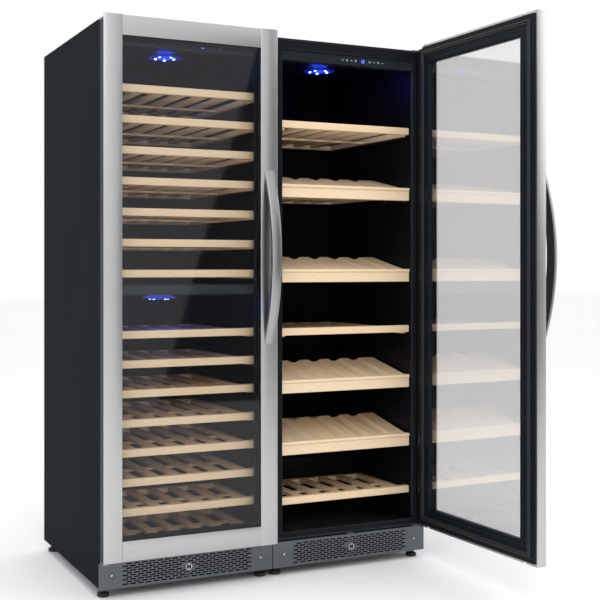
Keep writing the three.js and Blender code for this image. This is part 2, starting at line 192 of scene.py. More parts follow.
def brushedSteel(name, grain, tone=0.62, roughness=(0.22, 0.36), spread=0.095):
    # fine scratches drawn out along one axis, with broad soft bands across them
    finish = Finish(name, metallic=1.0)
    fine = finish.noise(finish.place(tuple(3 if along else 900 for along in grain)), 1.0, 3, 0.6)
    broad = finish.noise(finish.place(tuple(0.8 if along else 22 for along in grain)), 1.0, 2)
    smudge = finish.noise(finish.place(), 3.5, 3)
    streak = fine * 0.6 + broad * 0.4
    light = (tone + spread, tone + spread, tone + spread + 0.005)
    dark = (tone - spread, tone - spread, tone - spread + 0.005)
    finish.set("baseColor", finish.blend(streak, dark, light))
    finish.set("roughness", finish.between(streak * 0.75 + smudge * 0.25, *roughness))
    finish.bump(fine, 0.08, 0.0002)
    return finish.material


def darkSteel(name, dark, light, roughness):
    # dark brushed sheet
    finish = Finish(name, metallic=0.85)
    fine = finish.noise(finish.place((3, 3, 900)), 1.0, 3, 0.6)
    broad = finish.noise(finish.place((0.8, 0.8, 22)), 1.0, 2)
    finish.set("baseColor", finish.blend(fine * 0.6 + broad * 0.4, dark, light))
    finish.set("roughness", finish.between(fine, *roughness))
    finish.bump(fine, 0.06, 0.0002)
    return finish.material


def beechWood(name, pale=(0.83, 0.62, 0.39), warm=(0.72, 0.48, 0.27), gloss=(0.42, 0.56)):
    # u runs along the grain of each board: broad figure, fine pores and short dark flecks
    finish = Finish(name, specular=0.4, coatRoughness=0.35)
    figure = finish.noise(finish.place((1.6, 26, 1), "UV"), 1.0, 3, 0.55)
    pores = finish.noise(finish.place((14, 900, 1), "UV"), 1.0, 3, 0.7)
    fleck = finish.noise(finish.place((60, 420, 1), "UV"), 1.0, 1)
    tint = finish.noise(finish.place((0.35, 1.1, 1), "UV"), 1.0, 1)
    base = finish.blend(figure, pale, warm)
    toned = finish.blend(tint, base, (0.9, 0.72, 0.5))
    mask = (fleck > 0.64) * 0.22
    flecked = finish.blend(mask, toned, (0.5, 0.31, 0.16))
    finish.set("baseColor", finish.blend(pores * 0.22, flecked, (0.6, 0.4, 0.23)))
    finish.set("roughness", finish.between(pores, *gloss))
    finish.set("coatWeight", finish.between(figure, 0.1, 0.22))
    finish.bump(pores, 0.1, 0.0004)
    return finish.material


def glassFilm(name, tint, clear, edge, roughness=0.02):
    # a thin pane: its reflection grows towards a glancing view, and the rest is seen through
    finish = Finish(name, baseColor=tint, metallic=1.0)
    glance = finish.add("LayerWeight", inputs={"Blend": 0.12}, output=0)
    dust = finish.noise(finish.place(), 5, 4)
    finish.set("alpha", glance * (edge - clear) + clear)
    finish.set("roughness", finish.between(dust, roughness, roughness + 0.03))
    return finish.material


def tintFilm(name, tint, strength):
    # the body tint of the inner pane, seen through
    finish = Finish(name, baseColor=tint, specular=0.1)
    cloud = finish.noise(finish.place(), 1.5, 2)
    finish.set("alpha", finish.between(cloud, strength, strength + 0.02))
    finish.set("roughness", finish.between(cloud, 0.05, 0.1))
    return finish.material


def rubber(name, tone=0.012, specular=0.3):
    finish = Finish(name, specular=specular)
    speck = finish.noise(finish.place(), 700, 3)
    finish.set("baseColor", finish.blend(speck, (tone, tone, tone), (tone * 2, tone * 2, tone * 2.1)))
    finish.set("roughness", finish.between(speck, 0.5, 0.68))
    finish.bump(speck, 0.1, 0.0003)
    return finish.material


def plated(name, tone, roughness):
    finish = Finish(name, metallic=1.0)
    cloud = finish.noise(finish.place(), 60, 3)
    finish.set("baseColor", finish.blend(cloud, (tone, tone, tone), (tone + 0.1, tone + 0.1, tone + 0.09)))
    finish.set("roughness", finish.between(cloud, roughness, roughness + 0.12))
    return finish.material


def glossPanel(name):
    finish = Finish(name, coatWeight=0.12, coatRoughness=0.08, specular=0.1)
    cloud = finish.noise(finish.place(), 8, 2)
    finish.set("baseColor", finish.blend(cloud, (0.013, 0.017, 0.019), (0.018, 0.023, 0.025)))
    finish.set("roughness", finish.between(cloud, 0.18, 0.26))
    return finish.material


def glow(name, color, strength):
    # a lit face, a little paler in small spots
    finish = Finish(name, baseColor=color, emissionStrength=strength)
    cloud = finish.noise(finish.place(), 300, 2)
    paler = tuple(min(1, part + 0.25) for part in color)
    finish.set("emissionColor", finish.blend(cloud * 0.4, color, paler))
    return finish.material


def haloGlow(name, color, strength):
    # a disc that glows from its middle and is dark at its rim
    finish = Finish(name, baseColor=(0.01, 0.01, 0.02), specular=0.1, emissionStrength=strength)
    spot = finish.add("TexCoord", output=0)
    middle = finish.add("Mapping", inputs={"Vector": spot, "Location": (-1, -1, 0), "Scale": (2, 2, 0)})
    fall = finish.add("TexGradient", {"gradient_type": "SPHERICAL"}, {"Vector": middle}, output=1)
    finish.set("emissionColor", finish.blend(fall ** 1.5, (0, 0, 0), color))
    return finish.material


looks = {
    "case": powderCoat("casePaint", (0.010, 0.013, 0.015), (0.014, 0.018, 0.021), specular=0.003),
    "liner": mouldedPlastic("linerPlastic", (0.002, 0.002, 0.004), (0.006, 0.006, 0.009)),
    "frame": powderCoat("framePlastic", (0.006, 0.008, 0.011), (0.009, 0.012, 0.016), 500, (0.3, 0.4), 0.08),
    "trim": powderCoat("trimPlastic", (0.011, 0.015, 0.019), (0.015, 0.020, 0.025), 500, (0.26, 0.36), 0.12),
    "steelUp": brushedSteel("steelUpright", (False, False, True), 0.51),
    "steelAcross": brushedSteel("steelAcross", (True, True, False), 0.51),
    "handle": brushedSteel("handleSteel", (False, False, True), 0.36, (0.24, 0.36)),
    "kick": darkSteel("kickSteel", (0.08, 0.086, 0.097), (0.17, 0.18, 0.2), (0.36, 0.48)),
    "beech": beechWood("shelfBeech"),
    "beechPale": beechWood("rackBeech", (0.86, 0.68, 0.46), (0.76, 0.56, 0.35)),
    # a brighter copy of the shelf beech for the left shelves behind the glass: painted light
    "beechPaintedLight": beechWood("paintedLightBeech", (0.95, 0.72, 0.46), (0.86, 0.6, 0.35)),
    "fin": plated("condenserFin", 0.35, 0.35),
    "filter": rubber("dustFilter", 0.002, 0.03),
    "sheet": powderCoat("rearSheet", (0.02, 0.022, 0.024), (0.028, 0.03, 0.032), 700, specular=0.1),
    "glassFront": glassFilm("glassFront", (0.8, 0.81, 0.88), 0.018, 0.4),
    "leftGlassBack": tintFilm("leftGlassBack", (0.02, 0.022, 0.026), 0.015),
    # the right door's back pane carries a pale grey film, a painted reflection that makes its glass look
    # milky even when shut
    "rightGlassBack": glassFilm("rightGlassBack", (0.66, 0.67, 0.68), 0.26, 0.55),
    "rubber": rubber("gasketRubber"),
    "foot": rubber("footPlastic", 0.014),
    "chrome": plated("lockChrome", 0.5, 0.16),
    "screw": plated("screwSteel", 0.34, 0.26),
    "zinc": plated("zincPlate", 0.3, 0.3),
    "runner": plated("runnerSteel", 0.25, 0.32),
    "copper": plated("copperPipe", 0.4, 0.25),
    "enamel": powderCoat("compressorEnamel", (0.008, 0.008, 0.008), (0.014, 0.014, 0.014), 300, (0.25, 0.4)),
    "panel": glossPanel("panelGloss"),
    "divider": mouldedPlastic("dividerPlastic", (0.02, 0.029, 0.031), (0.03, 0.04, 0.042)),
    "digit": glow("displayDigit", (0.03, 0.1, 1.0), 3.2),
    "mark": glow("touchMark", (0.5, 0.55, 0.62), 0.2),
    "lamp": haloGlow("blueLamp", (0.01, 0.02, 1.0), 5.0),
    "lampSide": glow("blueLampSide", (0.004, 0.006, 0.5), 0.8),
    "bead": glow("lampBead", (0.25, 0.5, 1.0), 7.0),
}
print("finishes made:", len(looks))


creaseAngle = math.radians(32)


def addObject(name, data):
    piece = bpy.data.objects.new(name, data)
    bpy.context.scene.collection.objects.link(piece)
    return piece


def paint(mesh, look):
    mesh.materials.clear()
    mesh.materials.append(looks[look])


def smoothen(mesh):
    for face in mesh.polygons:
        face.use_smooth = True
    mesh.set_sharp_from_angle(angle=creaseAngle)


def meshFrom(name, bm):
    mesh = bpy.data.meshes.new(name)
    bmesh.ops.recalc_face_normals(bm, faces=bm.faces)
    bm.to_mesh(mesh)
    bm.free()
    return mesh


def fromBmesh(name, bm, look, body="cabinets", smooth=True, replaces=(), slot=None):
    # a finished piece that rides a body and may stand for CAD nodes
    mesh = meshFrom(name, bm)
    piece = addObject(name, mesh)
    paint(mesh, look)
    if smooth:
        smoothen(mesh)
    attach(piece, body)
    if replaces:
        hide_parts(*replaces)
    return piece


def addBoard(bm, low, high, grain=0, edge=0.8 * mm, seed=0):
    # a board with eased edges, and UVs whose u runs along its grain
    uv = bm.loops.layers.uv.verify()
    low, high = Vector(low), Vector(high)
    made = bmesh.ops.create_cube(bm, size=1)
    for vert in made["verts"]:
        for axis in range(3):
            vert.co[axis] = low[axis] if vert.co[axis] < 0 else high[axis]
    edges = list({side for vert in made["verts"] for side in vert.link_edges})
    eased = bmesh.ops.bevel(bm, geom=edges, offset=edge, segments=2, affect="EDGES", profile=0.6)
    faces = set(eased["faces"])
    for vert in eased["verts"]:
        faces.update(vert.link_faces)
    dice = random.Random(seed)
    shift = Vector((dice.uniform(0, 9), dice.uniform(0, 9)))
    paintUv(faces, uv, grain, shift)
    return faces


def paintUv(faces, uv, grain, shift):
    others = [axis for axis in range(3) if axis != grain]
    for face in faces:
        normal = face.normal
        across = others[0] if abs(normal[others[0]]) < abs(normal[others[1]]) else others[1]
        for loop in face.loops:
            place = loop.vert.co
            loop[uv].uv = (place[grain] + shift.x, place[across] + shift.y)


def addPrism(bm, outline, low, high, axis=0):
    # an outline of pairs carried along one axis, capped at both ends
    def corner(pair, along):
        spot = [pair[0], pair[1]]
        spot.insert(axis, along)
        return bm.verts.new(spot)
    first = [corner(pair, low) for pair in outline]
    last = [corner(pair, high) for pair in outline]
    faces = [bm.faces.new(first), bm.faces.new(list(reversed(last)))]
    for i, start in enumerate(first):
        following = (i + 1) % len(outline)
        faces.append(bm.faces.new((first[following], start, last[i], last[following])))
    return faces


def addTurned(bm, outline, centre, axis=2, steps=32):
    # an outline of [radius, height] pairs turned round an axis; its ends lie on the axis or close up
    rings = []
    others = [(axis + 1) % 3, (axis + 2) % 3]
    for radius, height in outline:
        ring = []
        for i in range(1 if radius == 0 else steps):
            angle = 2 * math.pi * i / steps
            spot = list(centre)
            spot[axis] += height
            spot[others[0]] += radius * math.cos(angle)
            spot[others[1]] += radius * math.sin(angle)
            ring.append(bm.verts.new(spot))
        rings.append(ring)
    for below, above in zip(rings, rings[1:]):
        for i in range(steps):
            j = (i + 1) % steps
            low = [below[i % len(below)], below[j % len(below)]]
            high = [above[j % len(above)], above[i % len(above)]]
            bm.faces.new(list(dict.fromkeys(low + high)))


def addRing(bm, low, high, outline, plane=1):
    # an outline of [inset, depth] pairs carried round a rectangle with mitred corners
    others = [axis for axis in range(3) if axis != plane]
    loops = []
    for inset, depth in outline:
        loop = []
        for u, v in ((0, 0), (1, 0), (1, 1), (0, 1)):
            spot = [0.0, 0.0, 0.0]
            spot[plane] = depth
            spot[others[0]] = high[others[0]] - inset if u else low[others[0]] + inset
            spot[others[1]] = high[others[1]] - inset if v else low[others[1]] + inset
            loop.append(bm.verts.new(spot))
        loops.append(loop)
    for here, there in zip(loops, loops[1:] + loops[:1]):
        for i in range(4):
            j = (i + 1) % 4
            bm.faces.new((here[i], here[j], there[j], there[i]))


def skin(bm, rings):
    # faces between a row of closed rings, capped at both ends
    for below, above in zip(rings, rings[1:]):
        for k in range(len(below)):
            n = (k + 1) % len(below)
            bm.faces.new((below[k], below[n], above[n], above[k]))
    bm.faces.new(rings[0])
    bm.faces.new(rings[-1])


def addTube(bm, points, radius, steps=10):
    # a round bar along a line of points, capped
    angles = [2 * math.pi * k / steps for k in range(steps)]
    circle = [Vector((radius * math.cos(angle), radius * math.sin(angle), 0)) for angle in angles]
    rings = []
    for i, point in enumerate(points):
        before = points[max(i - 1, 0)]
        after = points[min(i + 1, len(points) - 1)]
        turn = (after - before).to_track_quat("Z", "Y")
        rings.append([bm.verts.new(point + turn @ spot) for spot in circle])
    skin(bm, rings)


def evaluated(piece):
    # the mesh that an object's modifiers or curve give
    bpy.context.view_layer.update()
    return bpy.data.meshes.new_from_object(piece.evaluated_get(bpy.context.evaluated_depsgraph_get()))


def carve(piece, cutters):
    # cuts the cutters out of a piece's mesh and removes them
    for cutter in cutters:
        cut = piece.modifiers.new("cut", "BOOLEAN")
        cut.object = cutter
        cut.solver = "EXACT"
        mesh = evaluated(piece)
        piece.modifiers.clear()
        piece.data = mesh
        bpy.data.objects.remove(cutter)


keptLooks = {
    "case": "case",
    "liner": "liner",
    "door_inner_frame": "frame",
    "lock": "chrome",
    "hinge_top": "zinc",
    "hinge_bottom": "zinc",
    "compressor": "enamel",
}


def keepNodes():
    painted = {f"{side}_{part}": look for side in sides for part, look in keptLooks.items()}
    painted["left_zone_divider"] = "divider"
    for name, look in painted.items():
        mesh = frame["nodes"][name].data
        paint(mesh, look)
        if name.endswith(("_compressor", "_lock")):
            smoothen(mesh)


keepNodes()
print("cabinet shells painted")


door = {
    "stile": 60 * mm,
    "rail": 62 * mm,
    "lip": 4 * mm,
    "glassSeat": 10 * mm,
    "edge": 1.6 * mm,
    "pane": 4 * mm,
    "paneEdge": 0.4 * mm,
    "spacer": 9.4 * mm,
    "gasketWidth": 15 * mm,
    "gasketInset": 15 * mm,
    "gasketGap": 0.6 * mm,
    "beadWidth": 14 * mm,
    "beadRise": 3.2 * mm,
    "beadOverlap": 8 * mm,
    "beadSeat": 11 * mm,
    "stripStop": 3 * mm,
    "stripEdge": 0.15 * mm,
    "handleBar": 11 * mm,
    "handleFoot": 24 * mm,
    "handleEdge": 3 * mm,
    "handleSteps": 48,
    "liningInset": 1.5 * mm,
    "liningEnds": 6 * mm,
    "lining": 1.2 * mm,
    "notch": 15 * mm,
    "pinBore": 4.6 * mm,
    "topBore": 24 * mm,
    "bottomBore": 22 * mm,
}

# the gasket's section: shares of its width and of its rise
gasketSwell = ((0, 0), (0, 0.35), (0.07, 0.75), (0.2, 1), (0.42, 1), (0.5, 0.55), (0.56, 0.55),
               (0.64, 0.9), (0.86, 0.9), (0.95, 0.6), (1, 0.2), (1, 0))


def hingeAxis(side):
    hinge = Vector(joints[f"{side}_door_hinge"]["pos_m"])
    hinge.z = 0
    return hinge


def doorPlace(side):
    # the door as drawn shut with its hinge on the left, moved to where this side's door is stored
    toHinge = Matrix.Translation(hingeAxis(side))
    if side == "left":
        return toHinge
    opened = math.radians(-joints[f"{side}_door_hinge"]["range_deg"][0])
    mirror = Matrix.Diagonal((-1, 1, 1, 1))
    return toHinge @ Matrix.Rotation(opened, 4, "Z") @ mirror


def doorBox(part):
    # a left door node's corners, measured from its hinge axis
    low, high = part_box(f"left_door_{part}")
    return low - hingeAxis("left"), high - hingeAxis("left")


def hang(name, side, bm, look, **more):
    bm.transform(doorPlace(side))
    return fromBmesh(name, bm, look, f"{side}_door", **more)


def frameProfile(width, depth, reverse=False):
    # section of a frame member, from its outer edge to the opening: [across, depth] pairs
    edge = door["edge"]
    turns = (0, math.pi / 6, math.pi / 3, math.pi / 2)
    arc = [(edge * (1 - math.cos(turn)), edge * (1 - math.sin(turn))) for turn in turns]
    lip = [(width - x, y) for x, y in reversed(arc)]
    seat = width - door["glassSeat"]
    points = [(0, depth), *arc, *lip, (width, door["lip"]), (seat, door["lip"]), (seat, depth)]
    return [(width - x, y) for x, y in reversed(points)] if reverse else points


def makeDoorFrame(side):
    low, high = doorBox("frame")
    depth = high.y - low.y
    members = []
    for end, reverse, x in (("hinge", False, low.x), ("free", True, high.x - door["stile"])):
        bm = bmesh.new()
        outline = [(x + u, low.y + v) for u, v in frameProfile(door["stile"], depth, reverse)]
        addPrism(bm, outline, low.z, high.z, axis=2)
        members.append(hang(f"{side}_stile_{end}", side, bm, "steelUp", slot="stainless"))
    for end, reverse, z in (("bottom", False, low.z), ("top", True, high.z - door["rail"])):
        bm = bmesh.new()
        outline = [(low.y + v, z + u) for u, v in frameProfile(door["rail"], depth, reverse)]
        addPrism(bm, outline, low.x + door["stile"], high.x - door["stile"], axis=0)
        members.append(hang(f"{side}_rail_{end}", side, bm, "steelAcross", slot="stainless"))
    carveHingeSide(side, members[0], high)
    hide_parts(f"{side}_door_frame")


def carveHingeSide(side, stile, high):
    # room for the hinge plate and its pins, as in the CAD
    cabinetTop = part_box("left_case")[1].z
    bottom = doorBox("frame")[0]
    reach, radius = door["notch"], door["pinBore"]
    notch = bmesh.new()
    addPrism(notch, [(bottom.x - mm, -reach), (reach, -reach), (reach, 1), (bottom.x - mm, 1)],
             cabinetTop - mm, high.z + mm, axis=2)
    cutters = [notch]
    bores = ((cabinetTop - door["topBore"], cabinetTop), (bottom.z - mm, bottom.z + door["bottomBore"]))
    for floor, roof in bores:
        bore = bmesh.new()
        addTurned(bore, [(0, floor), (radius, floor), (radius, roof), (0, roof)], (0, 0, 0))
        cutters.append(bore)
    carve(stile, [hang(f"cutter{i}", side, bm, "steelUp") for i, bm in enumerate(cutters)])


def makeGlass(side):
    low, high = doorBox("glass")
    pane, wide, edge = door["pane"], door["spacer"], door["paneEdge"]
    front = bmesh.new()
    addBoard(front, low, (high.x, low.y + pane, high.z), edge=edge)
    hang(f"{side}_pane_front", side, front, "glassFront", smooth=False, replaces=[f"{side}_door_glass"],
         slot="door_glass")
    back = bmesh.new()
    addBoard(back, (low.x, high.y - pane, low.z), high, edge=edge)
    # on the right door this back pane's pale film is a painted reflection
    hang(f"{side}_pane_back", side, back, f"{side}GlassBack", smooth=False, slot="door_glass")
    bar = bmesh.new()
    near, far = low.y + pane + 0.1 * mm, high.y - pane - 0.1 * mm
    addRing(bar, low, high, [(0.5 * mm, near), (wide, near), (wide, far), (0.5 * mm, far)])
    hang(f"{side}_glass_spacer", side, bar, "frame", smooth=False, slot="frame_plastic")


def makeGasket(side):
    low, high = doorBox("inner_frame")
    base = high.y + 0.05 * mm
    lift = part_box("left_liner")[0].y - hingeAxis("left").y - door["gasketGap"] - base
    seal = bmesh.new()
    addRing(seal, low, high, [(door["gasketInset"] + door["gasketWidth"] * across, base + lift * share)
                              for across, share in gasketSwell])
    hang(f"{side}_gasket", side, seal, "rubber", slot="frame_plastic")
    bead = bmesh.new()
    edge = door["stile"] + door["beadOverlap"] - (low.x - doorBox("frame")[0].x)
    rise, seat = door["beadRise"], high.y - door["beadSeat"]
    addRing(bead, low, high, [(edge - door["beadWidth"], base), (edge - 12 * mm, base + rise * 0.8),
                              (edge - 9 * mm, base + rise), (edge - 2 * mm, base + rise * 0.7),
                              (edge + 0.4 * mm, base - 2 * mm), (edge + 0.4 * mm, seat),
                              (edge + 0.05 * mm, seat), (edge + 0.05 * mm, base)])
    hang(f"{side}_glass_bead", side, bead, "frame", slot="frame_plastic")


def makeShadeStrip(side):
    # dark strip on the hinge side of the door, stopping under the hinge plate; it is painted shade, a dark
    # sheet where that side lies in shade
    low, high = doorBox("frame")
    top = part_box("left_case")[1].z - door["stripStop"]
    bm = bmesh.new()
    addBoard(bm, (low.x - 0.6 * mm, low.y + 1.8 * mm, low.z + mm),
             (low.x - 0.1 * mm, high.y - 0.5 * mm, top), edge=door["stripEdge"])
    hang(f"{side}_shade_strip", side, bm, "frame", smooth=False, slot="frame_plastic")


def bow(height, reach, lift):
    # how far an arc of this reach and lift stands out at a height from its middle
    radius = (reach * reach + lift * lift) / (2 * lift)
    return max(lift - radius + math.sqrt(max(radius * radius - height * height, 0)), 0)


def makeHandle(side):
    low, high = doorBox("handle")
    steps = door["handleSteps"]
    middle, half = (low.z + high.z) / 2, (high.z - low.z) / 2
    face, rise = high.y, high.y - low.y
    root = half - door["handleFoot"]
    bar = bmesh.new()
    rings = []
    lining = []
    for i in range(steps + 1):
        height = -half * math.cos(math.pi * i / steps)
        outer = face - bow(height, half, rise)
        inner = face - bow(height, root, rise - door["handleBar"]) if abs(height) < root else face
        thick = max(inner - outer, 0.2 * mm)
        ease = min(door["handleEdge"], thick * 0.45)
        nick = ease * 0.3
        section = [(low.x, inner), (low.x, outer + ease), (low.x + nick, outer + nick),
                   (low.x + ease, outer), (high.x - ease, outer), (high.x - nick, outer + nick),
                   (high.x, outer + ease), (high.x, inner)]
        rings.append([bar.verts.new((x, y, middle + height)) for x, y in section])
        if abs(height) < root - door["liningEnds"]:
            lining.append((inner, middle + height))
    skin(bar, rings)
    hang(f"{side}_handle", side, bar, "handle", replaces=[f"{side}_door_handle"], slot="handle_steel")
    pad = bmesh.new()
    inset, thick = door["liningInset"], door["lining"]
    section = ((low.x + inset, 0.1 * mm), (high.x - inset, 0.1 * mm), (high.x - inset - 0.5 * mm, thick),
               (low.x + inset + 0.5 * mm, thick))
    skin(pad, [[pad.verts.new((x, y + offset, z)) for x, offset in section] for y, z in lining])
    hang(f"{side}_handle_lining", side, pad, "rubber", slot="frame_plastic")


for side in sides:
    makeDoorFrame(side)
    makeGlass(side)
    makeGasket(side)
    makeShadeStrip(side)
    makeHandle(side)
print("doors made")


trim = {
    "bandWidth": 7.5 * mm,
    "bandRise": 1.8 * mm,
    "lipWidth": 3 * mm,
    "lipRise": 0.4 * mm,
    "lipBottom": 22 * mm,
    "mitre": 0.35 * mm,
    "stripFront": 3 * mm,
    "stripWidth": 16 * mm,
    "stripRise": 2.4 * mm,
    "stripBottom": 26 * mm,
}


def addMitredBars(bm, low, high, y, width, rise):
    # four bars round a rectangle with open mitre joints at the corners
    ease = min(rise * 0.4, 0.5 * mm)
    section = ((0, 0), (0, rise - ease), (ease, rise), (width - ease, rise), (width, rise - ease), (width, 0))
    corners = [Vector((x, z)) for x, z in
               ((low.x, low.z), (high.x, low.z), (high.x, high.z), (low.x, high.z))]
    for first, second in zip(corners, corners[1:] + corners[:1]):
        along = (second - first).normalized()
        inward = Vector((-along.y, along.x))
        rings = []
        for start, way in ((first, 1), (second, -1)):
            ring = []
            for inset, lift in section:
                spot = start + inward * inset + along * way * (inset + trim["mitre"])
                ring.append(bm.verts.new((spot.x, y - lift, spot.y)))
            rings.append(ring)
        skin(bm, rings)


def makeFrontTrim(side):
    low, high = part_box(f"{side}_liner")
    panelLow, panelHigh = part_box(f"{side}_control_panel")
    lip = trim["lipWidth"]
    front = low.y - 0.1 * mm
    bm = bmesh.new()
    addMitredBars(bm, low, high, front, trim["bandWidth"], trim["bandRise"])
    addMitredBars(bm, Vector((panelLow.x - lip, 0, low.z + trim["lipBottom"])),
                  Vector((panelHigh.x + lip, 0, panelHigh.z + lip)), front, lip, trim["lipRise"])
    fromBmesh(f"{side}_front_trim", bm, "trim", smooth=False, slot="frame_plastic")


def makeWallStrips(side):
    # grooved uprights on the inner walls, beside the shelf fronts
    low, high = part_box(f"{side}_control_panel")
    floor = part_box(f"{side}_liner")[0].z + trim["stripBottom"]
    front, wide = low.y + trim["stripFront"], trim["stripWidth"]
    bm = bmesh.new()
    for wall, inward in ((low.x, 1), (high.x, -1)):
        face = wall + inward * trim["stripRise"]
        groove = wall + inward * trim["stripRise"] * 0.4
        outline = [(wall, front), (face, front + mm), (face, front + wide * 0.35),
                   (groove, front + wide * 0.4), (groove, front + wide * 0.6), (face, front + wide * 0.65),
                   (face, front + wide - mm), (wall, front + wide)]
        addPrism(bm, outline, floor, low.z - mm, axis=2)
    fromBmesh(f"{side}_wall_strips", bm, "trim", smooth=False, slot="frame_plastic")


for side in sides:
    makeFrontTrim(side)
    makeWallStrips(side)
print("front trim made")


kick = {
    "rows": 10,
    "columns": 17,
    "pitch": 25.6 * mm,
    "rowPitch": 6.9 * mm,
    "slotLength": 20 * mm,
    "slotHeight": 4.3 * mm,
    "screwInset": 42 * mm,
    "screwRadius": 5.6 * mm,
    "lockHole": 9.2 * mm,
    "lockMargin": 3 * mm,
    "lockFace": 7.6 * mm,
    "keyway": 4.4 * mm,
    "thickness": 1.4 * mm,
    "filterInset": 54 * mm,
    "filterRise": 3.4 * mm,
    "filterDepth": 5 * mm,
    "pleat": 2.5 * mm,
    "pleats": 44,
}


def slotOutline(x, z, steps=4):
    radius = kick["slotHeight"] / 2
    reach = (kick["slotLength"] - kick["slotHeight"]) / 2
    points = []
    for end, start in ((1, -math.pi / 2), (-1, math.pi / 2)):
        for i in range(steps + 1):
            angle = start + math.pi * i / steps
            points.append((x + end * reach + radius * math.cos(angle), z + radius * math.sin(angle)))
    return points


def kickHoles(x, z):
    # staggered rows of slots, left out round the lock, and the lock's own hole
    holes = []
    hole = kick["lockHole"]
    for row in range(kick["rows"]):
        slotZ = z + (row - (kick["rows"] - 1) / 2) * kick["rowPitch"]
        stagger = kick["pitch"] / 2 * (row % 2)
        for column in range(kick["columns"]):
            slotX = x + (column - (kick["columns"] - 0.5) / 2) * kick["pitch"] + stagger
            fromLock = math.hypot(max(abs(slotX - x) - kick["slotLength"] / 2, 0), slotZ - z)
            if fromLock > hole + kick["lockMargin"]:
                holes.append(slotOutline(slotX, slotZ))
    angles = [2 * math.pi * i / 24 for i in range(24)]
    holes.append([(x + hole * math.cos(angle), z + hole * math.sin(angle)) for angle in angles])
    return holes


def makeKickPlate(side):
    low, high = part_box(f"{side}_kick_plate")
    x, z = (low.x + high.x) / 2, (low.z + high.z) / 2
    sheet = kick["thickness"]
    curve = bpy.data.curves.new(f"{side}_kick_face", "CURVE")
    curve.dimensions = "2D"
    curve.fill_mode = "BOTH"
    curve.extrude = sheet / 2
    outline = [(low.x, low.z), (high.x, low.z), (high.x, high.z), (low.x, high.z)]
    for points in [outline, *kickHoles(x, z)]:
        spline = curve.splines.new("POLY")
        spline.points.add(len(points) - 1)
        spline.use_cyclic_u = True
        for point, (across, up) in zip(spline.points, points):
            point.co = (across, up, 0, 1)
    holder = addObject("kickHolder", curve)
    mesh = evaluated(holder)
    bpy.data.objects.remove(holder)
    mesh.transform(Matrix.Translation((0, low.y + sheet / 2, 0)) @ Matrix.Rotation(math.pi / 2, 4, "X"))
    bm = bmesh.new()
    bm.from_mesh(mesh)
    bmesh.ops.remove_doubles(bm, verts=bm.verts, dist=1e-6)
    addBoard(bm, (low.x, low.y + sheet, low.z), (high.x, high.y, low.z + sheet), edge=0.3 * mm)
    fromBmesh(f"{side}_kick", bm, "kick", replaces=[f"{side}_kick_plate"], slot="kick_steel")
    head = kick["screwRadius"]
    for end, screwX in (("a", low.x + kick["screwInset"]), ("b", high.x - kick["screwInset"])):
        washer = bmesh.new()
        addTurned(washer, [(head * 0.8, 0), (head * 1.35, 0), (head * 1.35, -0.5 * mm),
                           (head * 1.2, -0.9 * mm), (head * 0.8, -0.6 * mm), (head * 0.8, 0)],
                  (screwX, low.y, z), axis=1)
        fromBmesh(f"{side}_kick_washer_{end}", washer, "rubber", slot="kick_steel")
        makeScrew(f"{side}_kick_screw_{end}", (screwX, low.y - 0.1 * mm, z), head)


def makeFilter(side):
    # pleated dust filter behind the slots, in two halves beside the lock
    low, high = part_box(f"{side}_kick_plate")
    lockLow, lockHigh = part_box(f"{side}_lock")
    front = low.y + kick["thickness"] + 0.6 * mm
    back = front + kick["filterDepth"]
    inset, margin, pleats = kick["filterInset"], kick["lockMargin"], kick["pleats"]
    bm = bmesh.new()
    for left, right in ((low.x + inset, lockLow.x - margin), (lockHigh.x + margin, high.x - inset)):
        folds = [(left + (right - left) * i / pleats, front + (kick["pleat"] if i % 2 else 0))
                 for i in range(pleats + 1)]
        addPrism(bm, [(left, back), *folds, (right, back)], low.z + 4 * mm, high.z + kick["filterRise"],
                 axis=2)
    fromBmesh(f"{side}_filter", bm, "filter", smooth=False, slot="foot_plastic")


def makeLockFace(side):
    # dark insert with a keyway inside the lock's bright collar
    low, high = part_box(f"{side}_lock")
    x, z = (low.x + high.x) / 2, (low.z + high.z) / 2
    radius, slot = kick["lockFace"], kick["keyway"]
    angles = [2 * math.pi * i / 32 for i in range(32)]
    ring = [(radius * math.sin(angle), radius * math.cos(angle)) for angle in angles]
    bm = bmesh.new()
    for way in (1, -1):
        rim = [(u, v) for u, v in (ring if way > 0 else reversed(ring)) if u * way > mm]
        half = [(way * mm, slot), *rim, (way * mm, -slot)]
        addPrism(bm, [(x + u, z + v) for u, v in half], low.y - 0.35 * mm, low.y - 0.05 * mm, axis=1)
    fromBmesh(f"{side}_lock_face", bm, "filter", f"{side}_lock", smooth=False, slot="lock_chrome")


def makeScrew(name, spot, radius, axis=1, sign=-1):
    # a round head with a dished middle, standing proud of its face
    rise = radius * 0.45 * sign
    bm = bmesh.new()
    addTurned(bm, [(0, 0), (radius, 0), (radius * 0.97, rise * 0.4), (radius * 0.75, rise * 0.85),
                   (radius * 0.5, rise), (radius * 0.42, rise * 0.35), (0, rise * 0.3)],
              spot, axis=axis, steps=20)
    fromBmesh(name, bm, "screw", slot="hinge_zinc")


foot = {
    "threadStart": 18 * mm,
    "pitch": 1.6 * mm,
    "crest": 6 * mm,
    "root": 5.1 * mm,
}


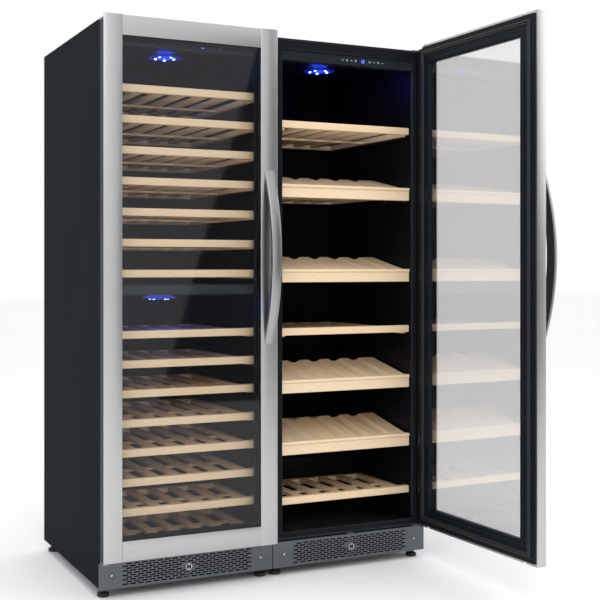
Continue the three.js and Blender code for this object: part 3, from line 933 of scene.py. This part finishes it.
def makeFoot(name):
    # a round sole with a neck and a threaded stud
    low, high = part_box(name)
    centre = ((low.x + high.x) / 2, (low.y + high.y) / 2, low.z)
    radius, tall = (high.x - low.x) / 2, high.z - low.z
    start, pitch, crest, root = foot.values()
    outline = [(0, 0), (radius * 0.9, 0), (radius * 0.97, 0.6 * mm), (radius, 2 * mm), (radius, 8 * mm),
               (radius * 0.97, 9.6 * mm), (radius * 0.82, 12 * mm), (radius * 0.5, 13 * mm),
               (radius * 0.5, 17 * mm), (crest, start)]
    for i in range(int((tall - start) / pitch)):
        outline += [(crest, start + i * pitch), (root, start + (i + 0.5) * pitch)]
    outline += [(root, tall), (0, tall)]
    bm = bmesh.new()
    addTurned(bm, outline, centre, steps=36)
    fromBmesh(f"{name}_sole", bm, "foot", replaces=[name], slot="foot_plastic")


for side in sides:
    makeKickPlate(side)
    makeFilter(side)
    makeLockFace(side)
for name in [f"{side}_foot_{row}_{end}" for side in sides for row in ("front", "rear") for end in sides]:
    makeFoot(name)
print("kick plates and feet made")


wood = {
    "leftShelves": 15,
    "racks": 4,
    "board": 22 * mm,
    "rail": 24 * mm,
    "slat": 34 * mm,
    "slatThickness": 10 * mm,
    "slats": 5,
    "drop": 5 * mm,
    "railHeight": 17 * mm,
    "boardEase": 2 * mm,
    "railEase": 1.2 * mm,
    "slatEase": 1.5 * mm,
    "rackEase": 1.6 * mm,
    "rackRail": (14 * mm, 26 * mm),
    "rackRear": 26 * mm,
    "lip": 4 * mm,
    "lipHeight": 9 * mm,
    "cradleFront": 16 * mm,
    "cradleBoard": 14 * mm,
    "cheek": 12 * mm,
    "cheekInset": 10 * mm,
    "bottles": 5,
    "bottlePitch": 83 * mm,
    "bottleRadius": 38 * mm,
    "trough": 8 * mm,
    "troughSteps": 12,
    "stopInset": 19 * mm,
    "stopBack": 120 * mm,
}


def addSlats(bm, low, high, floor, roof, rearTop, seed):
    # side rails, rear rail, middle bar and slats of a shelf or rack
    rail, thin, half = wood["rail"], wood["slatThickness"], wood["slat"] / 2
    gap, ease = 0.1 * mm, wood["railEase"]
    front = low.y + wood["board"] + gap
    for i, x in enumerate((low.x, high.x - rail)):
        addBoard(bm, (x, front, floor), (x + rail, high.y, roof), 1, ease, seed + i)
    left, right = low.x + rail + gap, high.x - rail - gap
    addBoard(bm, (left, high.y - rail, floor), (right, high.y, rearTop), 0, ease, seed + 2)
    middle = (front + high.y) / 2
    addBoard(bm, (left, middle - rail / 2, floor), (right, middle + rail / 2, roof - thin - gap), 0, ease,
             seed + 3)
    pitch = (right - left) / (wood["slats"] + 1)
    for i in range(wood["slats"]):
        x = left + (i + 1) * pitch
        addBoard(bm, (x - half, front, roof - thin), (x + half, high.y - rail - gap, roof), 1,
                 wood["slatEase"], seed + 4 + i)


def makeShelf(node, body, seed, look="beech"):
    low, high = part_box(node)
    bm = bmesh.new()
    addBoard(bm, (low.x, low.y, low.z + wood["drop"]), (high.x, low.y + wood["board"], high.z), 0,
             wood["boardEase"], seed)
    roof = low.z + wood["railHeight"]
    addSlats(bm, low, high, low.z, roof, roof, seed + 1)
    fromBmesh(f"{node}_boards", bm, look, body, replaces=[node], slot="shelf_beech")


def paintPrism(bm, faces, grain, shift):
    # UVs for a prism drawn from listed points, once its faces look outwards
    bmesh.ops.recalc_face_normals(bm, faces=faces)
    paintUv(faces, bm.loops.layers.uv.verify(), grain, Vector(shift))


def makeRack(node, seed):
    # a front board with a finger lip, its rails and slats, and two stop pins under it
    low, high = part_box(node)
    ease, soft, groove = wood["rackEase"], 0.8 * mm, 1.2 * mm
    front = low.y + wood["lip"]
    back = front + wood["board"]
    top, under = high.z, high.z - wood["lipHeight"]
    bm = bmesh.new()
    bm.loops.layers.uv.verify()
    outline = [(front, low.z + ease), (front + ease, low.z), (back - ease, low.z), (back, low.z + ease),
               (back, top - ease), (back - ease, top), (low.y + 2.5 * mm, top), (low.y + soft, top - soft),
               (low.y, top - 2.5 * mm), (low.y, under + mm), (low.y + soft, under), (front + groove, under),
               (front + groove, under - 1.8 * mm), (front, under - 3 * mm)]
    paintPrism(bm, addPrism(bm, outline, low.x, high.x), 0, (seed * 0.37, seed * 0.21))
    floor, roof = (low.z + height for height in wood["rackRail"])
    addSlats(bm, Vector((low.x, front, low.z)), high, floor, roof, floor + wood["rackRear"], seed + 1)
    fromBmesh(f"{node}_boards", bm, "beechPale", node, replaces=[node], slot="shelf_beech")
    pins = bmesh.new()
    pin = [(0, 0), (2.2 * mm, 0), (2.2 * mm, -10 * mm), (1.6 * mm, -11.5 * mm), (0, -11.5 * mm)]
    for x in (low.x + wood["stopInset"], high.x - wood["stopInset"]):
        addTurned(pins, pin, (x, front + wood["stopBack"], floor - 0.1 * mm), steps=14)
    fromBmesh(f"{node}_stop_pins", pins, "runner", node, slot="hinge_zinc")


def makeCradle(node, body, seed):
    # a sloping deck with bottle troughs on a rear board and two cheeks
    low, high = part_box(node)
    wide, run = high.x - low.x, high.y - low.y
    climb = high.z - low.z - wood["cradleFront"]
    angle = math.atan2(climb, run)
    drop = wood["cradleBoard"] / math.cos(angle)
    first = (wide - (wood["bottles"] - 1) * wood["bottlePitch"]) / 2
    radius, steps, ease = wood["bottleRadius"], wood["troughSteps"], 1.5 * mm
    above = radius - wood["trough"]
    reach = math.sqrt(radius ** 2 - above ** 2)
    profile = [(0, -drop), (wide, -drop), (wide, -ease), (wide - ease, 0)]
    for i in reversed(range(wood["bottles"])):
        centre = first + i * wood["bottlePitch"]
        for k in range(steps + 1):
            x = reach * (1 - 2 * k / steps)
            dip = math.sqrt(radius ** 2 - x ** 2) - above
            profile.append((centre + x, -dip / math.cos(angle)))
    profile += [(ease, 0), (0, -ease)]
    bm = bmesh.new()
    bm.loops.layers.uv.verify()
    sill = low.z + wood["cradleFront"]
    front = [bm.verts.new((low.x + x, low.y, sill + z)) for x, z in profile]
    back = [bm.verts.new((low.x + x, high.y, high.z + z)) for x, z in profile]
    deck = [bm.faces.new(front), bm.faces.new(list(reversed(back)))]
    for i in range(len(profile)):
        j = (i + 1) % len(profile)
        deck.append(bm.faces.new((front[i], front[j], back[j], back[i])))
    paintPrism(bm, deck, 1, (seed * 0.51, seed * 0.13))
    addBoard(bm, (low.x, high.y - wood["cradleBoard"], low.z), (high.x, high.y, high.z - drop - 0.2 * mm), 0,
             wood["railEase"], seed + 1)
    rear = high.y - wood["cradleBoard"] - 0.1 * mm
    rise = climb / run * (rear - low.y)
    for x in (low.x + wood["cheekInset"], high.x - wood["cheekInset"] - wood["cheek"]):
        outline = [(low.y, low.z), (rear, low.z), (rear, sill - drop + rise), (low.y, sill - drop)]
        paintPrism(bm, addPrism(bm, outline, x, x + wood["cheek"]), 1, (seed * 0.2 + x, seed * 0.7))
    fromBmesh(f"{node}_boards", bm, "beechPale", body, replaces=[node], slot="cradle_beech")


rightShelves = ("right_shelf_bottom", "right_shelf_middle", "right_shelf_top")
racks = [f"display_rack_{i + 1}" for i in range(wood["racks"])]

# the number given to each is the seed of its wood grain
# the left shelves take the brighter beech copy, which is painted light
for i in range(wood["leftShelves"]):
    makeShelf(f"left_shelf_{i + 1:02d}", "cabinets", 20 * i, "beechPaintedLight")
for i, name in enumerate(rightShelves):
    makeShelf(name, name, 400 + 20 * i)
for i, name in enumerate(racks):
    makeRack(name, 500 + 20 * i)
    makeCradle(f"display_cradle_{i + 1}", name, 600 + 20 * i)
print("shelves and racks made")


runner = {
    "height": 13 * mm,
    "thickness": 4.2 * mm,
    "web": 1.4 * mm,
    "return": 2.6 * mm,
    "front": 20 * mm,
    "short": 12 * mm,
    "slim": 3 * mm,
    "clear": 10 * mm,
    "wallGap": 0.4 * mm,
    "rackHeight": 20 * mm,
    "shelfHeight": 9 * mm,
}


def addChannel(bm, x, low, high, zMid, height, inward):
    # a rolled runner member: a flat web with two returned lips
    thick, web, lip = runner["thickness"], runner["web"], height / 2
    bulge, fold = thick - 0.4 * mm, lip - runner["return"]
    outline = [(0, -lip), (bulge, -lip), (thick, mm - lip), (thick, -fold), (web, -fold),
               (web, fold), (thick, fold), (thick, lip - mm), (bulge, lip), (0, lip)]
    addPrism(bm, [(x + inward * u, zMid + v) for u, v in outline], low, high, axis=1)


def makeRunner(name, lift):
    # a fixed member on each wall and a moving member on each side of the wood
    low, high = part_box(name)
    middle = low.z + lift
    front = low.y + wood["board"] + runner["front"]
    clear, gap, height = runner["clear"], runner["wallGap"], runner["height"]
    fixed, moving = bmesh.new(), bmesh.new()
    for wall, inward in ((low.x - clear, 1), (high.x + clear, -1)):
        addChannel(fixed, wall + inward * gap, front, high.y, middle, height, inward)
        addChannel(moving, wall + inward * (clear - gap), front, high.y - runner["short"], middle,
                   height - runner["slim"], -inward)
    fromBmesh(f"{name}_runner_fixed", fixed, "runner", smooth=False, slot="hinge_zinc")
    fromBmesh(f"{name}_runner_moving", moving, "runner", name, smooth=False, slot="hinge_zinc")


for name in rightShelves:
    makeRunner(name, runner["shelfHeight"])
for name in racks:
    makeRunner(name, runner["rackHeight"])
print("runners made")


display = {
    "digitHeight": 11 * mm,
    "digitWidth": 6.5 * mm,
    "stroke": 1.3 * mm,
    "spacing": 10 * mm,
    "reading": "12",
    "across": 0.6,
    "markStart": 28 * mm,
    "markPitch": 17 * mm,
    "markCount": 4,
    "markSize": 3.2 * mm,
    "relief": 0.15 * mm,
}

# strokes of a seven-part digit: top, two right, bottom, two left, middle
digitStrokes = {"0": "abcdef", "1": "bc", "2": "abged", "3": "abgcd", "4": "fgbc", "5": "afgcd",
                "6": "afgedc", "7": "abc", "8": "abcdefg", "9": "gfabcd"}


def strokeBox(letter, width, height, stroke):
    # the span across and the span up of one stroke
    spans = {
        "a": ((0, width), (height - stroke, height)),
        "b": ((width - stroke, width), (height / 2, height)),
        "c": ((width - stroke, width), (0, height / 2)),
        "d": ((0, width), (0, stroke)),
        "e": ((0, stroke), (0, height / 2)),
        "f": ((0, stroke), (height / 2, height)),
        "g": ((0, width), ((height - stroke) / 2, (height + stroke) / 2)),
    }
    return spans[letter]


def makePanel(side):
    low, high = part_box(f"{side}_control_panel")
    depth, ease = high.y - low.y, 1.5 * mm
    body = bmesh.new()
    outline = [(low.y, high.z), (low.y, low.z + ease), (low.y + ease, low.z), (low.y + depth * 0.7, low.z),
               (high.y, low.z + 14 * mm), (high.y, high.z)]
    addPrism(body, outline, low.x, high.x)
    fromBmesh(f"{side}_panel", body, "panel", replaces=[f"{side}_control_panel"], slot="panel_gloss")
    face, back = low.y - display["relief"], low.y + 0.1 * mm
    middle = low.x + (high.x - low.x) * display["across"]
    digitLow = (low.z + high.z) / 2 - display["digitHeight"] / 2
    digits = bmesh.new()
    for i, letter in enumerate(display["reading"]):
        left = middle + (i - 1) * display["spacing"]
        for part in digitStrokes[letter]:
            (x0, x1), (z0, z1) = strokeBox(part, display["digitWidth"], display["digitHeight"],
                                           display["stroke"])
            addBoard(digits, (left + x0, face, digitLow + z0), (left + x1, back, digitLow + z1),
                     edge=0.2 * mm)
    fromBmesh(f"{side}_display", digits, "digit", smooth=False, slot="panel_gloss")
    marks = bmesh.new()
    size, relief = display["markSize"], display["relief"]
    z = digitLow + display["digitHeight"] / 2
    circle = [(size * 0.6, 0), (size * 0.6, -relief), (size, -relief), (size, 0), (size * 0.6, 0)]
    for way in (-1, 1):
        for i in range(display["markCount"]):
            x = middle + way * (display["markStart"] + i * display["markPitch"])
            if i % 2:
                addBoard(marks, (x - size, face, z - size / 4), (x + size, back, z + size / 4), edge=0.1 * mm)
            else:
                addTurned(marks, circle, (x, low.y, z), axis=1, steps=20)
    fromBmesh(f"{side}_touch_marks", marks, "mark", smooth=False, slot="panel_gloss")


lamp = {
    "radius": 62 * mm,
    "rim": 43 * mm,
    "depth": 3 * mm,
    "beads": 5,
    "beadRadius": 4.6 * mm,
    "beadCircle": 33 * mm,
    "share": {"left_lamp": 0.57, "left_lower_lamp": 0.53, "right_lamp": 0.59},
    "back": 300 * mm,
    "power": 0.25,
    "tint": (0.02, 0.06, 1.0),
    "softness": 30 * mm,
    "lightDrop": 30 * mm,
    "lowerHang": 17 * mm,
}


def makeLamp(name, node, top, hang=0):
    # a round lamp under a ceiling: a glowing disc, a raised rim, a ring of bright beads and its light
    low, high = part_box(node)
    x = low.x + (high.x - low.x) * lamp["share"][name]
    side = name.split("_")[0]
    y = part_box(f"{side}_liner")[0].y + lamp["back"]
    radius, depth, rim = lamp["radius"], lamp["depth"], lamp["rim"]
    ceiling = top - hang
    if hang:
        puck = bmesh.new()
        addTurned(puck, [(0, hang - 0.3 * mm), (rim * 0.5, hang - 0.3 * mm), (rim * 0.75, hang * 0.6),
                         (rim * 1.3, 2.5 * mm), (rim * 1.36, 1.4 * mm), (rim * 1.3, 0.3 * mm), (0, 0)],
                  (x, y, ceiling - 0.1 * mm), steps=48)
        fromBmesh(f"{name}_puck", puck, "lampSide", slot="panel_gloss")
        radius = rim * 1.28
    disc = bmesh.new()
    addTurned(disc, [(0, 0), (radius, 0), (radius, -0.5 * mm), (radius * 0.97, -mm), (0, -mm)],
              (x, y, ceiling - 0.2 * mm), steps=48)
    fromBmesh(f"{name}_disc", disc, "lamp", slot="panel_gloss")
    cover = bmesh.new()
    addTurned(cover, [(rim, -mm), (rim, -depth * 0.8), (rim * 0.95, -depth), (rim * 0.86, -depth),
                      (rim * 0.84, -depth * 0.6), (rim * 0.84, -mm), (rim, -mm)],
              (x, y, ceiling - 0.3 * mm), steps=48)
    fromBmesh(f"{name}_rim", cover, "panel", slot="panel_gloss")
    beads = bmesh.new()
    bead, circle = lamp["beadRadius"], lamp["beadCircle"]
    dome = [(0, 0), (bead, 0), (bead * 0.9, -bead * 0.5), (bead * 0.6, -bead * 0.85), (0, -bead)]
    for i in range(lamp["beads"]):
        angle = 2 * math.pi * i / lamp["beads"]
        centre = (x + circle * math.cos(angle), y + circle * math.sin(angle), ceiling - 1.3 * mm)
        addTurned(beads, dome, centre, steps=16)
    fromBmesh(f"{name}_beads", beads, "bead", slot="panel_gloss")
    light = bpy.data.lights.new(f"{name}_light", "POINT")
    light.energy = lamp["power"]
    light.color = lamp["tint"]
    light.shadow_soft_size = lamp["softness"]
    addObject(f"{name}_light", light).location = (x, y, ceiling - lamp["lightDrop"])


for side in sides:
    makePanel(side)
    makeLamp(f"{side}_lamp", f"{side}_control_panel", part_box(f"{side}_control_panel")[1].z)
makeLamp("left_lower_lamp", "left_zone_divider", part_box("left_zone_divider")[0].z, lamp["lowerHang"])
print("panels and lamps made")


rear = {
    "sheetInset": 7 * mm,
    "sheetRise": 1.2 * mm,
    "sheetBottom": 292 * mm,
    "ribs": 3,
    "ribHalf": 14 * mm,
    "ribRise": 1.6 * mm,
    "ribEnds": 50 * mm,
    "screwRows": 5,
    "screwEnds": 14 * mm,
    "screwInset": 10 * mm,
    "screwRadius": 4 * mm,
    "topFront": 62 * mm,
    "ductWidth": 250 * mm,
    "ductDepth": 18 * mm,
    "ductEdge": 4 * mm,
    "ductGap": 70 * mm,
    "ductEnds": 20 * mm,
    "ductBottom": 400 * mm,
    "fanRadius": 62 * mm,
    "fanRings": 6,
    "fanSpokes": 4,
}

bay = {
    "condenser": ((74 * mm, 470 * mm, 58 * mm), (274 * mm, 540 * mm, 236 * mm)),
    "fins": 34,
    "finHalf": 0.4 * mm,
    "tube": 3.4 * mm,
    "tubeRows": 6,
    "tubeBend": 9 * mm,
    "pipeBend": 12 * mm,
    "pipeRise": 70 * mm,
    "fanRadius": 74 * mm,
    "blades": 7,
    "bladeHalf": 20 * mm,
}


def makeRearSheet(side):
    # ribbed rear sheet with its screws, and the sheet on top
    low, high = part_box(f"{side}_case")
    inset, half, ends = rear["sheetInset"], rear["ribHalf"], rear["ribEnds"]
    back = high.y + 0.1 * mm
    face = back + rear["sheetRise"]
    left, right, floor, roof = low.x + inset, high.x - inset, rear["sheetBottom"], high.z - inset
    sheet = bmesh.new()
    addBoard(sheet, (left, back, floor), (right, face, roof), edge=0.5 * mm)
    step = (right - left) / (rear["ribs"] + 1)
    for i in range(rear["ribs"]):
        x = left + (i + 1) * step
        addBoard(sheet, (x - half, face, floor + ends), (x + half, face + rear["ribRise"], roof - ends),
                 edge=1.2 * mm)
    fromBmesh(f"{side}_rear_sheet", sheet, "sheet", slot="case_paint")
    start, rows = rear["screwEnds"], rear["screwRows"]
    for i in range(rows):
        z = floor + start + (roof - floor - 2 * start) * i / (rows - 1)
        for end, x in (("a", left + rear["screwInset"]), ("b", right - rear["screwInset"])):
            makeScrew(f"{side}_rear_screw_{i}{end}", (x, face, z), rear["screwRadius"], sign=1)
    top = bmesh.new()
    addBoard(top, (left, low.y + rear["topFront"], high.z + 0.1 * mm),
             (right, high.y - inset, high.z + 1.1 * mm), edge=0.5 * mm)
    fromBmesh(f"{side}_top_sheet", top, "case", slot="case_paint")


def makeHingeScrews(side):
    # two screws and the pin's head on the top hinge plate
    low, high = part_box(f"{side}_hinge_top")
    top = high.z + 0.05 * mm
    for i, share in enumerate((0.25, 0.75)):
        makeScrew(f"{side}_hinge_screw_{i}", (low.x + (high.x - low.x) * share, high.y - 9 * mm, top),
                  4.2 * mm, axis=2, sign=1)
    axis = hingeAxis(side)
    pin = bmesh.new()
    addTurned(pin, [(0, 0), (5.5 * mm, 0), (5.5 * mm, 1.4 * mm), (4.6 * mm, 2.2 * mm), (0, 2.2 * mm)],
              (axis.x, axis.y, top), steps=20)
    fromBmesh(f"{side}_hinge_pin_head", pin, "zinc", slot="hinge_zinc")


def makeDuct(name, bottom, top):
    # slim cover on the inner rear wall with a round fan grille
    side = name.split("_")[0]
    panelLow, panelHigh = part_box(f"{side}_control_panel")
    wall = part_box(f"{side}_liner")[1].y - 3.1 * mm
    middle = (panelLow.x + panelHigh.x) / 2
    front, half, reach = wall - rear["ductDepth"], rear["ductWidth"] / 2, rear["fanRadius"]
    duct = bmesh.new()
    addBoard(duct, (middle - half, front, bottom), (middle + half, wall, top), edge=rear["ductEdge"])
    fromBmesh(f"{name}_duct", duct, "liner", slot="liner_plastic")
    grille = bmesh.new()
    centre = Vector((middle, front - 0.1 * mm, top - reach - 24 * mm))
    for i in range(rear["fanRings"]):
        radius = reach * (i + 1) / rear["fanRings"]
        inner = radius - 2.4 * mm
        addTurned(grille, [(radius, 0), (radius, -3 * mm), (inner, -3 * mm), (inner, 0), (radius, 0)], centre,
                  axis=1, steps=48)
    hub = centre + Vector((0, -1.5 * mm, 0))
    for i in range(rear["fanSpokes"]):
        angle = math.pi * i / rear["fanSpokes"]
        way = Vector((math.cos(angle), 0, math.sin(angle))) * reach
        addTube(grille, [hub - way, hub + way], 1.3 * mm, 8)
    fromBmesh(f"{name}_fan_grille", grille, "frame", slot="liner_plastic")


def makeCondenser(side, start, end):
    # thin fins with two layers of tube through them, and the compressor's two pipes
    fins = bmesh.new()
    half, count, tube = bay["finHalf"], bay["fins"], bay["tube"]
    for i in range(count):
        x = start.x + (end.x - start.x) * i / (count - 1)
        addBoard(fins, (x - half, start.y, start.z), (x + half, end.y, end.z), edge=0.1 * mm)
    fromBmesh(f"{side}_condenser_fins", fins, "fin", smooth=False, slot="hinge_zinc")
    tubes = bmesh.new()
    rows = bay["tubeRows"]
    for depth in (0.3, 0.7):
        y = start.y + (end.y - start.y) * depth
        points = []
        for row in range(rows):
            z = start.z + (end.z - start.z) * (row + 0.5) / rows
            ends = (start.x - 8 * mm, end.x + 8 * mm)
            points += [Vector((x, y, z)) for x in (ends if row % 2 == 0 else reversed(ends))]
        addTube(tubes, roundedPath(points, bay["tubeBend"]), tube)
    low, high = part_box(f"{side}_compressor")
    middle = (low + high) / 2
    shell = (high.x - low.x) / 2 - 18 * mm
    for offset, rise, reach in ((-26 * mm, 120 * mm, 30 * mm), (22 * mm, 96 * mm, 44 * mm)):
        outlet = Vector((middle.x - shell, middle.y + offset, low.z + rise))
        away = Vector((end.x + reach * 0.4, outlet.y, outlet.z))
        up = away + Vector((0, 0, bay["pipeRise"]))
        addTube(tubes, roundedPath([outlet, away, up], bay["pipeBend"]), tube)
    fromBmesh(f"{side}_pipes", tubes, "copper", slot="hinge_zinc")
    box = bmesh.new()
    addBoard(box, (middle.x - 24 * mm, middle.y + shell - 4 * mm, low.z + 60 * mm),
             (middle.x + 24 * mm, middle.y + shell + 16 * mm, low.z + 116 * mm), edge=3 * mm)
    fromBmesh(f"{side}_relay_box", box, "frame", slot="frame_plastic")


def makeCondenserFan(side, hub):
    # a shroud, a motor and twisted blades
    radius, wide = bay["fanRadius"], bay["bladeHalf"]
    outer = radius + 6 * mm
    fan = bmesh.new()
    addTurned(fan, [(outer, 22 * mm), (outer, 0), (radius, -4 * mm), (radius, 18 * mm), (outer, 22 * mm)],
              hub, axis=1, steps=48)
    addTurned(fan, [(0, -22 * mm), (20 * mm, -22 * mm), (23 * mm, -18 * mm), (23 * mm, 8 * mm), (0, 10 * mm)],
              hub, axis=1, steps=28)
    thick = Vector((0, 0.9 * mm, 0))
    for i in range(bay["blades"]):
        angle = 2 * math.pi * i / bay["blades"]
        outward = Vector((math.cos(angle), 0, math.sin(angle)))
        along = Vector((-math.sin(angle), 0, math.cos(angle)))
        blade = []
        for share, twist in ((0.3, 0.5), (0.65, 0.36), (0.97, 0.25)):
            spot = hub + outward * radius * share
            reach = along * wide * math.cos(twist) + Vector((0, math.sin(twist), 0)) * wide
            a, b = spot + reach, spot - reach
            blade.append([fan.verts.new(corner) for corner in (a - thick, a + thick, b + thick, b - thick)])
        skin(fan, blade)
    fromBmesh(f"{side}_condenser_fan", fan, "frame", slot="frame_plastic")


def makeMachineBay(side):
    corner = Vector((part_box(f"{side}_case")[0].x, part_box(f"{side}_liner")[0].y, 0))
    start, end = (corner + Vector(spot) for spot in bay["condenser"])
    makeCondenser(side, start, end)
    makeCondenserFan(side, Vector(((start.x + end.x) / 2, start.y - 26 * mm, (start.z + end.z) / 2)))


def roundedPath(points, radius, steps=5):
    # the corners of a line of points, turned into short curves
    path = [points[0]]
    for before, corner, after in zip(points, points[1:], points[2:]):
        reach = min(radius, (corner - before).length / 2, (after - corner).length / 2)
        start = corner + (before - corner).normalized() * reach
        end = corner + (after - corner).normalized() * reach
        for i in range(steps + 1):
            t = i / steps
            path.append((1 - t) ** 2 * start + 2 * t * (1 - t) * corner + t ** 2 * end)
    path.append(points[-1])
    return path


for side in sides:
    makeRearSheet(side)
    makeHingeScrews(side)
    makeMachineBay(side)
dividerLow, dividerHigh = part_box("left_zone_divider")
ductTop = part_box("left_control_panel")[1].z - rear["ductEnds"]
makeDuct("left_upper", dividerHigh.z + rear["ductGap"], ductTop)
makeDuct("left_lower", rear["ductBottom"], dividerLow.z - rear["ductEnds"])
makeDuct("right", rear["ductBottom"], ductTop)
print("rear and machine bay made")


view = {
    "lens": 63.557,
    "sensor": 36,
    "shift": (0.1333, -0.0542),
    "fromCorner": (-0.98485, -3.1007, 1.01609),
    "turn": 24.18,
}


def makeCamera():
    # level, placed from the lower left front corner of the left case
    camera = bpy.data.cameras.new("camera")
    camera.lens = view["lens"]
    camera.sensor_width = view["sensor"]
    camera.shift_x, camera.shift_y = view["shift"]
    holder = addObject("camera", camera)
    corner = Vector((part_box("left_case")[0].x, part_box("left_liner")[0].y, 0))
    holder.location = corner + Vector(view["fromCorner"])
    holder.rotation_euler = (math.pi / 2, 0, -math.radians(view["turn"]))
    bpy.context.scene.camera = holder


softboxes = {
    # name: place, aims at, size, power
    "frontTop": ((-1.6, -3.6, 3.4), (0, 0, 0.9), 2.6, 44),
    "frontRight": ((3.6, -2.2, 2.4), (0, 0, 0.8), 2.0, 18),
    "left": ((-3.6, 0.4, 2.2), (0, 0.2, 0.9), 2.2, 6),
    "top": ((0, -0.3, 4.2), (0, 0, 0.6), 3.0, 40),
}


def makeSoftboxes():
    for name, (place, target, size, power) in softboxes.items():
        light = bpy.data.lights.new(name, "AREA")
        light.energy = power
        light.size = size
        holder = addObject(name, light)
        holder.location = place
        holder.rotation_euler = (Vector(place) - Vector(target)).to_track_quat("Z", "Y").to_euler()


def makeWorld():
    world = bpy.data.worlds.new("studio")
    world.use_nodes = True
    sky = world.node_tree.nodes["Background"]
    sky.inputs["Color"].default_value = (1, 1, 1, 1)
    sky.inputs["Strength"].default_value = 1.0
    bpy.context.scene.world = world
    bpy.context.scene.view_settings.view_transform = "Standard"


stage = {
    "floorReach": 30,
    "floorTones": ((0.94, 0.94, 0.94), (0.97, 0.97, 0.97)),
    "cardCorners": ((2.11, 3.2), (1.145, 0.01), (6.0, 0.01), (6.0, 3.2)),  # x and z
    "cardDepth": (-4.25, -4.22),
    "cardTones": ((0.14, 0.14, 0.15), (0.17, 0.17, 0.18)),
}


def stagePaint(name, tones):
    finish = Finish(name, specular=0.1)
    cloud = finish.noise(finish.place(), 0.6, 2)
    finish.set("baseColor", finish.blend(cloud, *tones))
    return finish, cloud


def makeFloor():
    bm = bmesh.new()
    bmesh.ops.create_grid(bm, x_segments=1, y_segments=1, size=stage["floorReach"])
    mesh = bpy.data.meshes.new("floor")
    bm.to_mesh(mesh)
    bm.free()
    finish, cloud = stagePaint("floorPaint", stage["floorTones"])
    finish.set("roughness", finish.between(cloud, 0.7, 0.8))
    mesh.materials.append(finish.material)
    floor = addObject("floor", mesh)
    floor.location.z = cadBounds[0].z - 0.2 * mm


def makeDarkCard():
    # a dark card in front, seen only as a slanting edge in what glass and steel reflect
    bm = bmesh.new()
    addPrism(bm, stage["cardCorners"], *stage["cardDepth"], axis=1)
    mesh = meshFrom("darkCard", bm)
    finish, _ = stagePaint("cardPaint", stage["cardTones"])
    mesh.materials.append(finish.material)
    card = addObject("darkCard", mesh)
    card.visible_camera = False
    card.visible_diffuse = False
    card.visible_transmission = False
    card.visible_shadow = False


makeCamera()
makeDarkCard()
makeSoftboxes()
makeWorld()
makeFloor()
print("stage made")
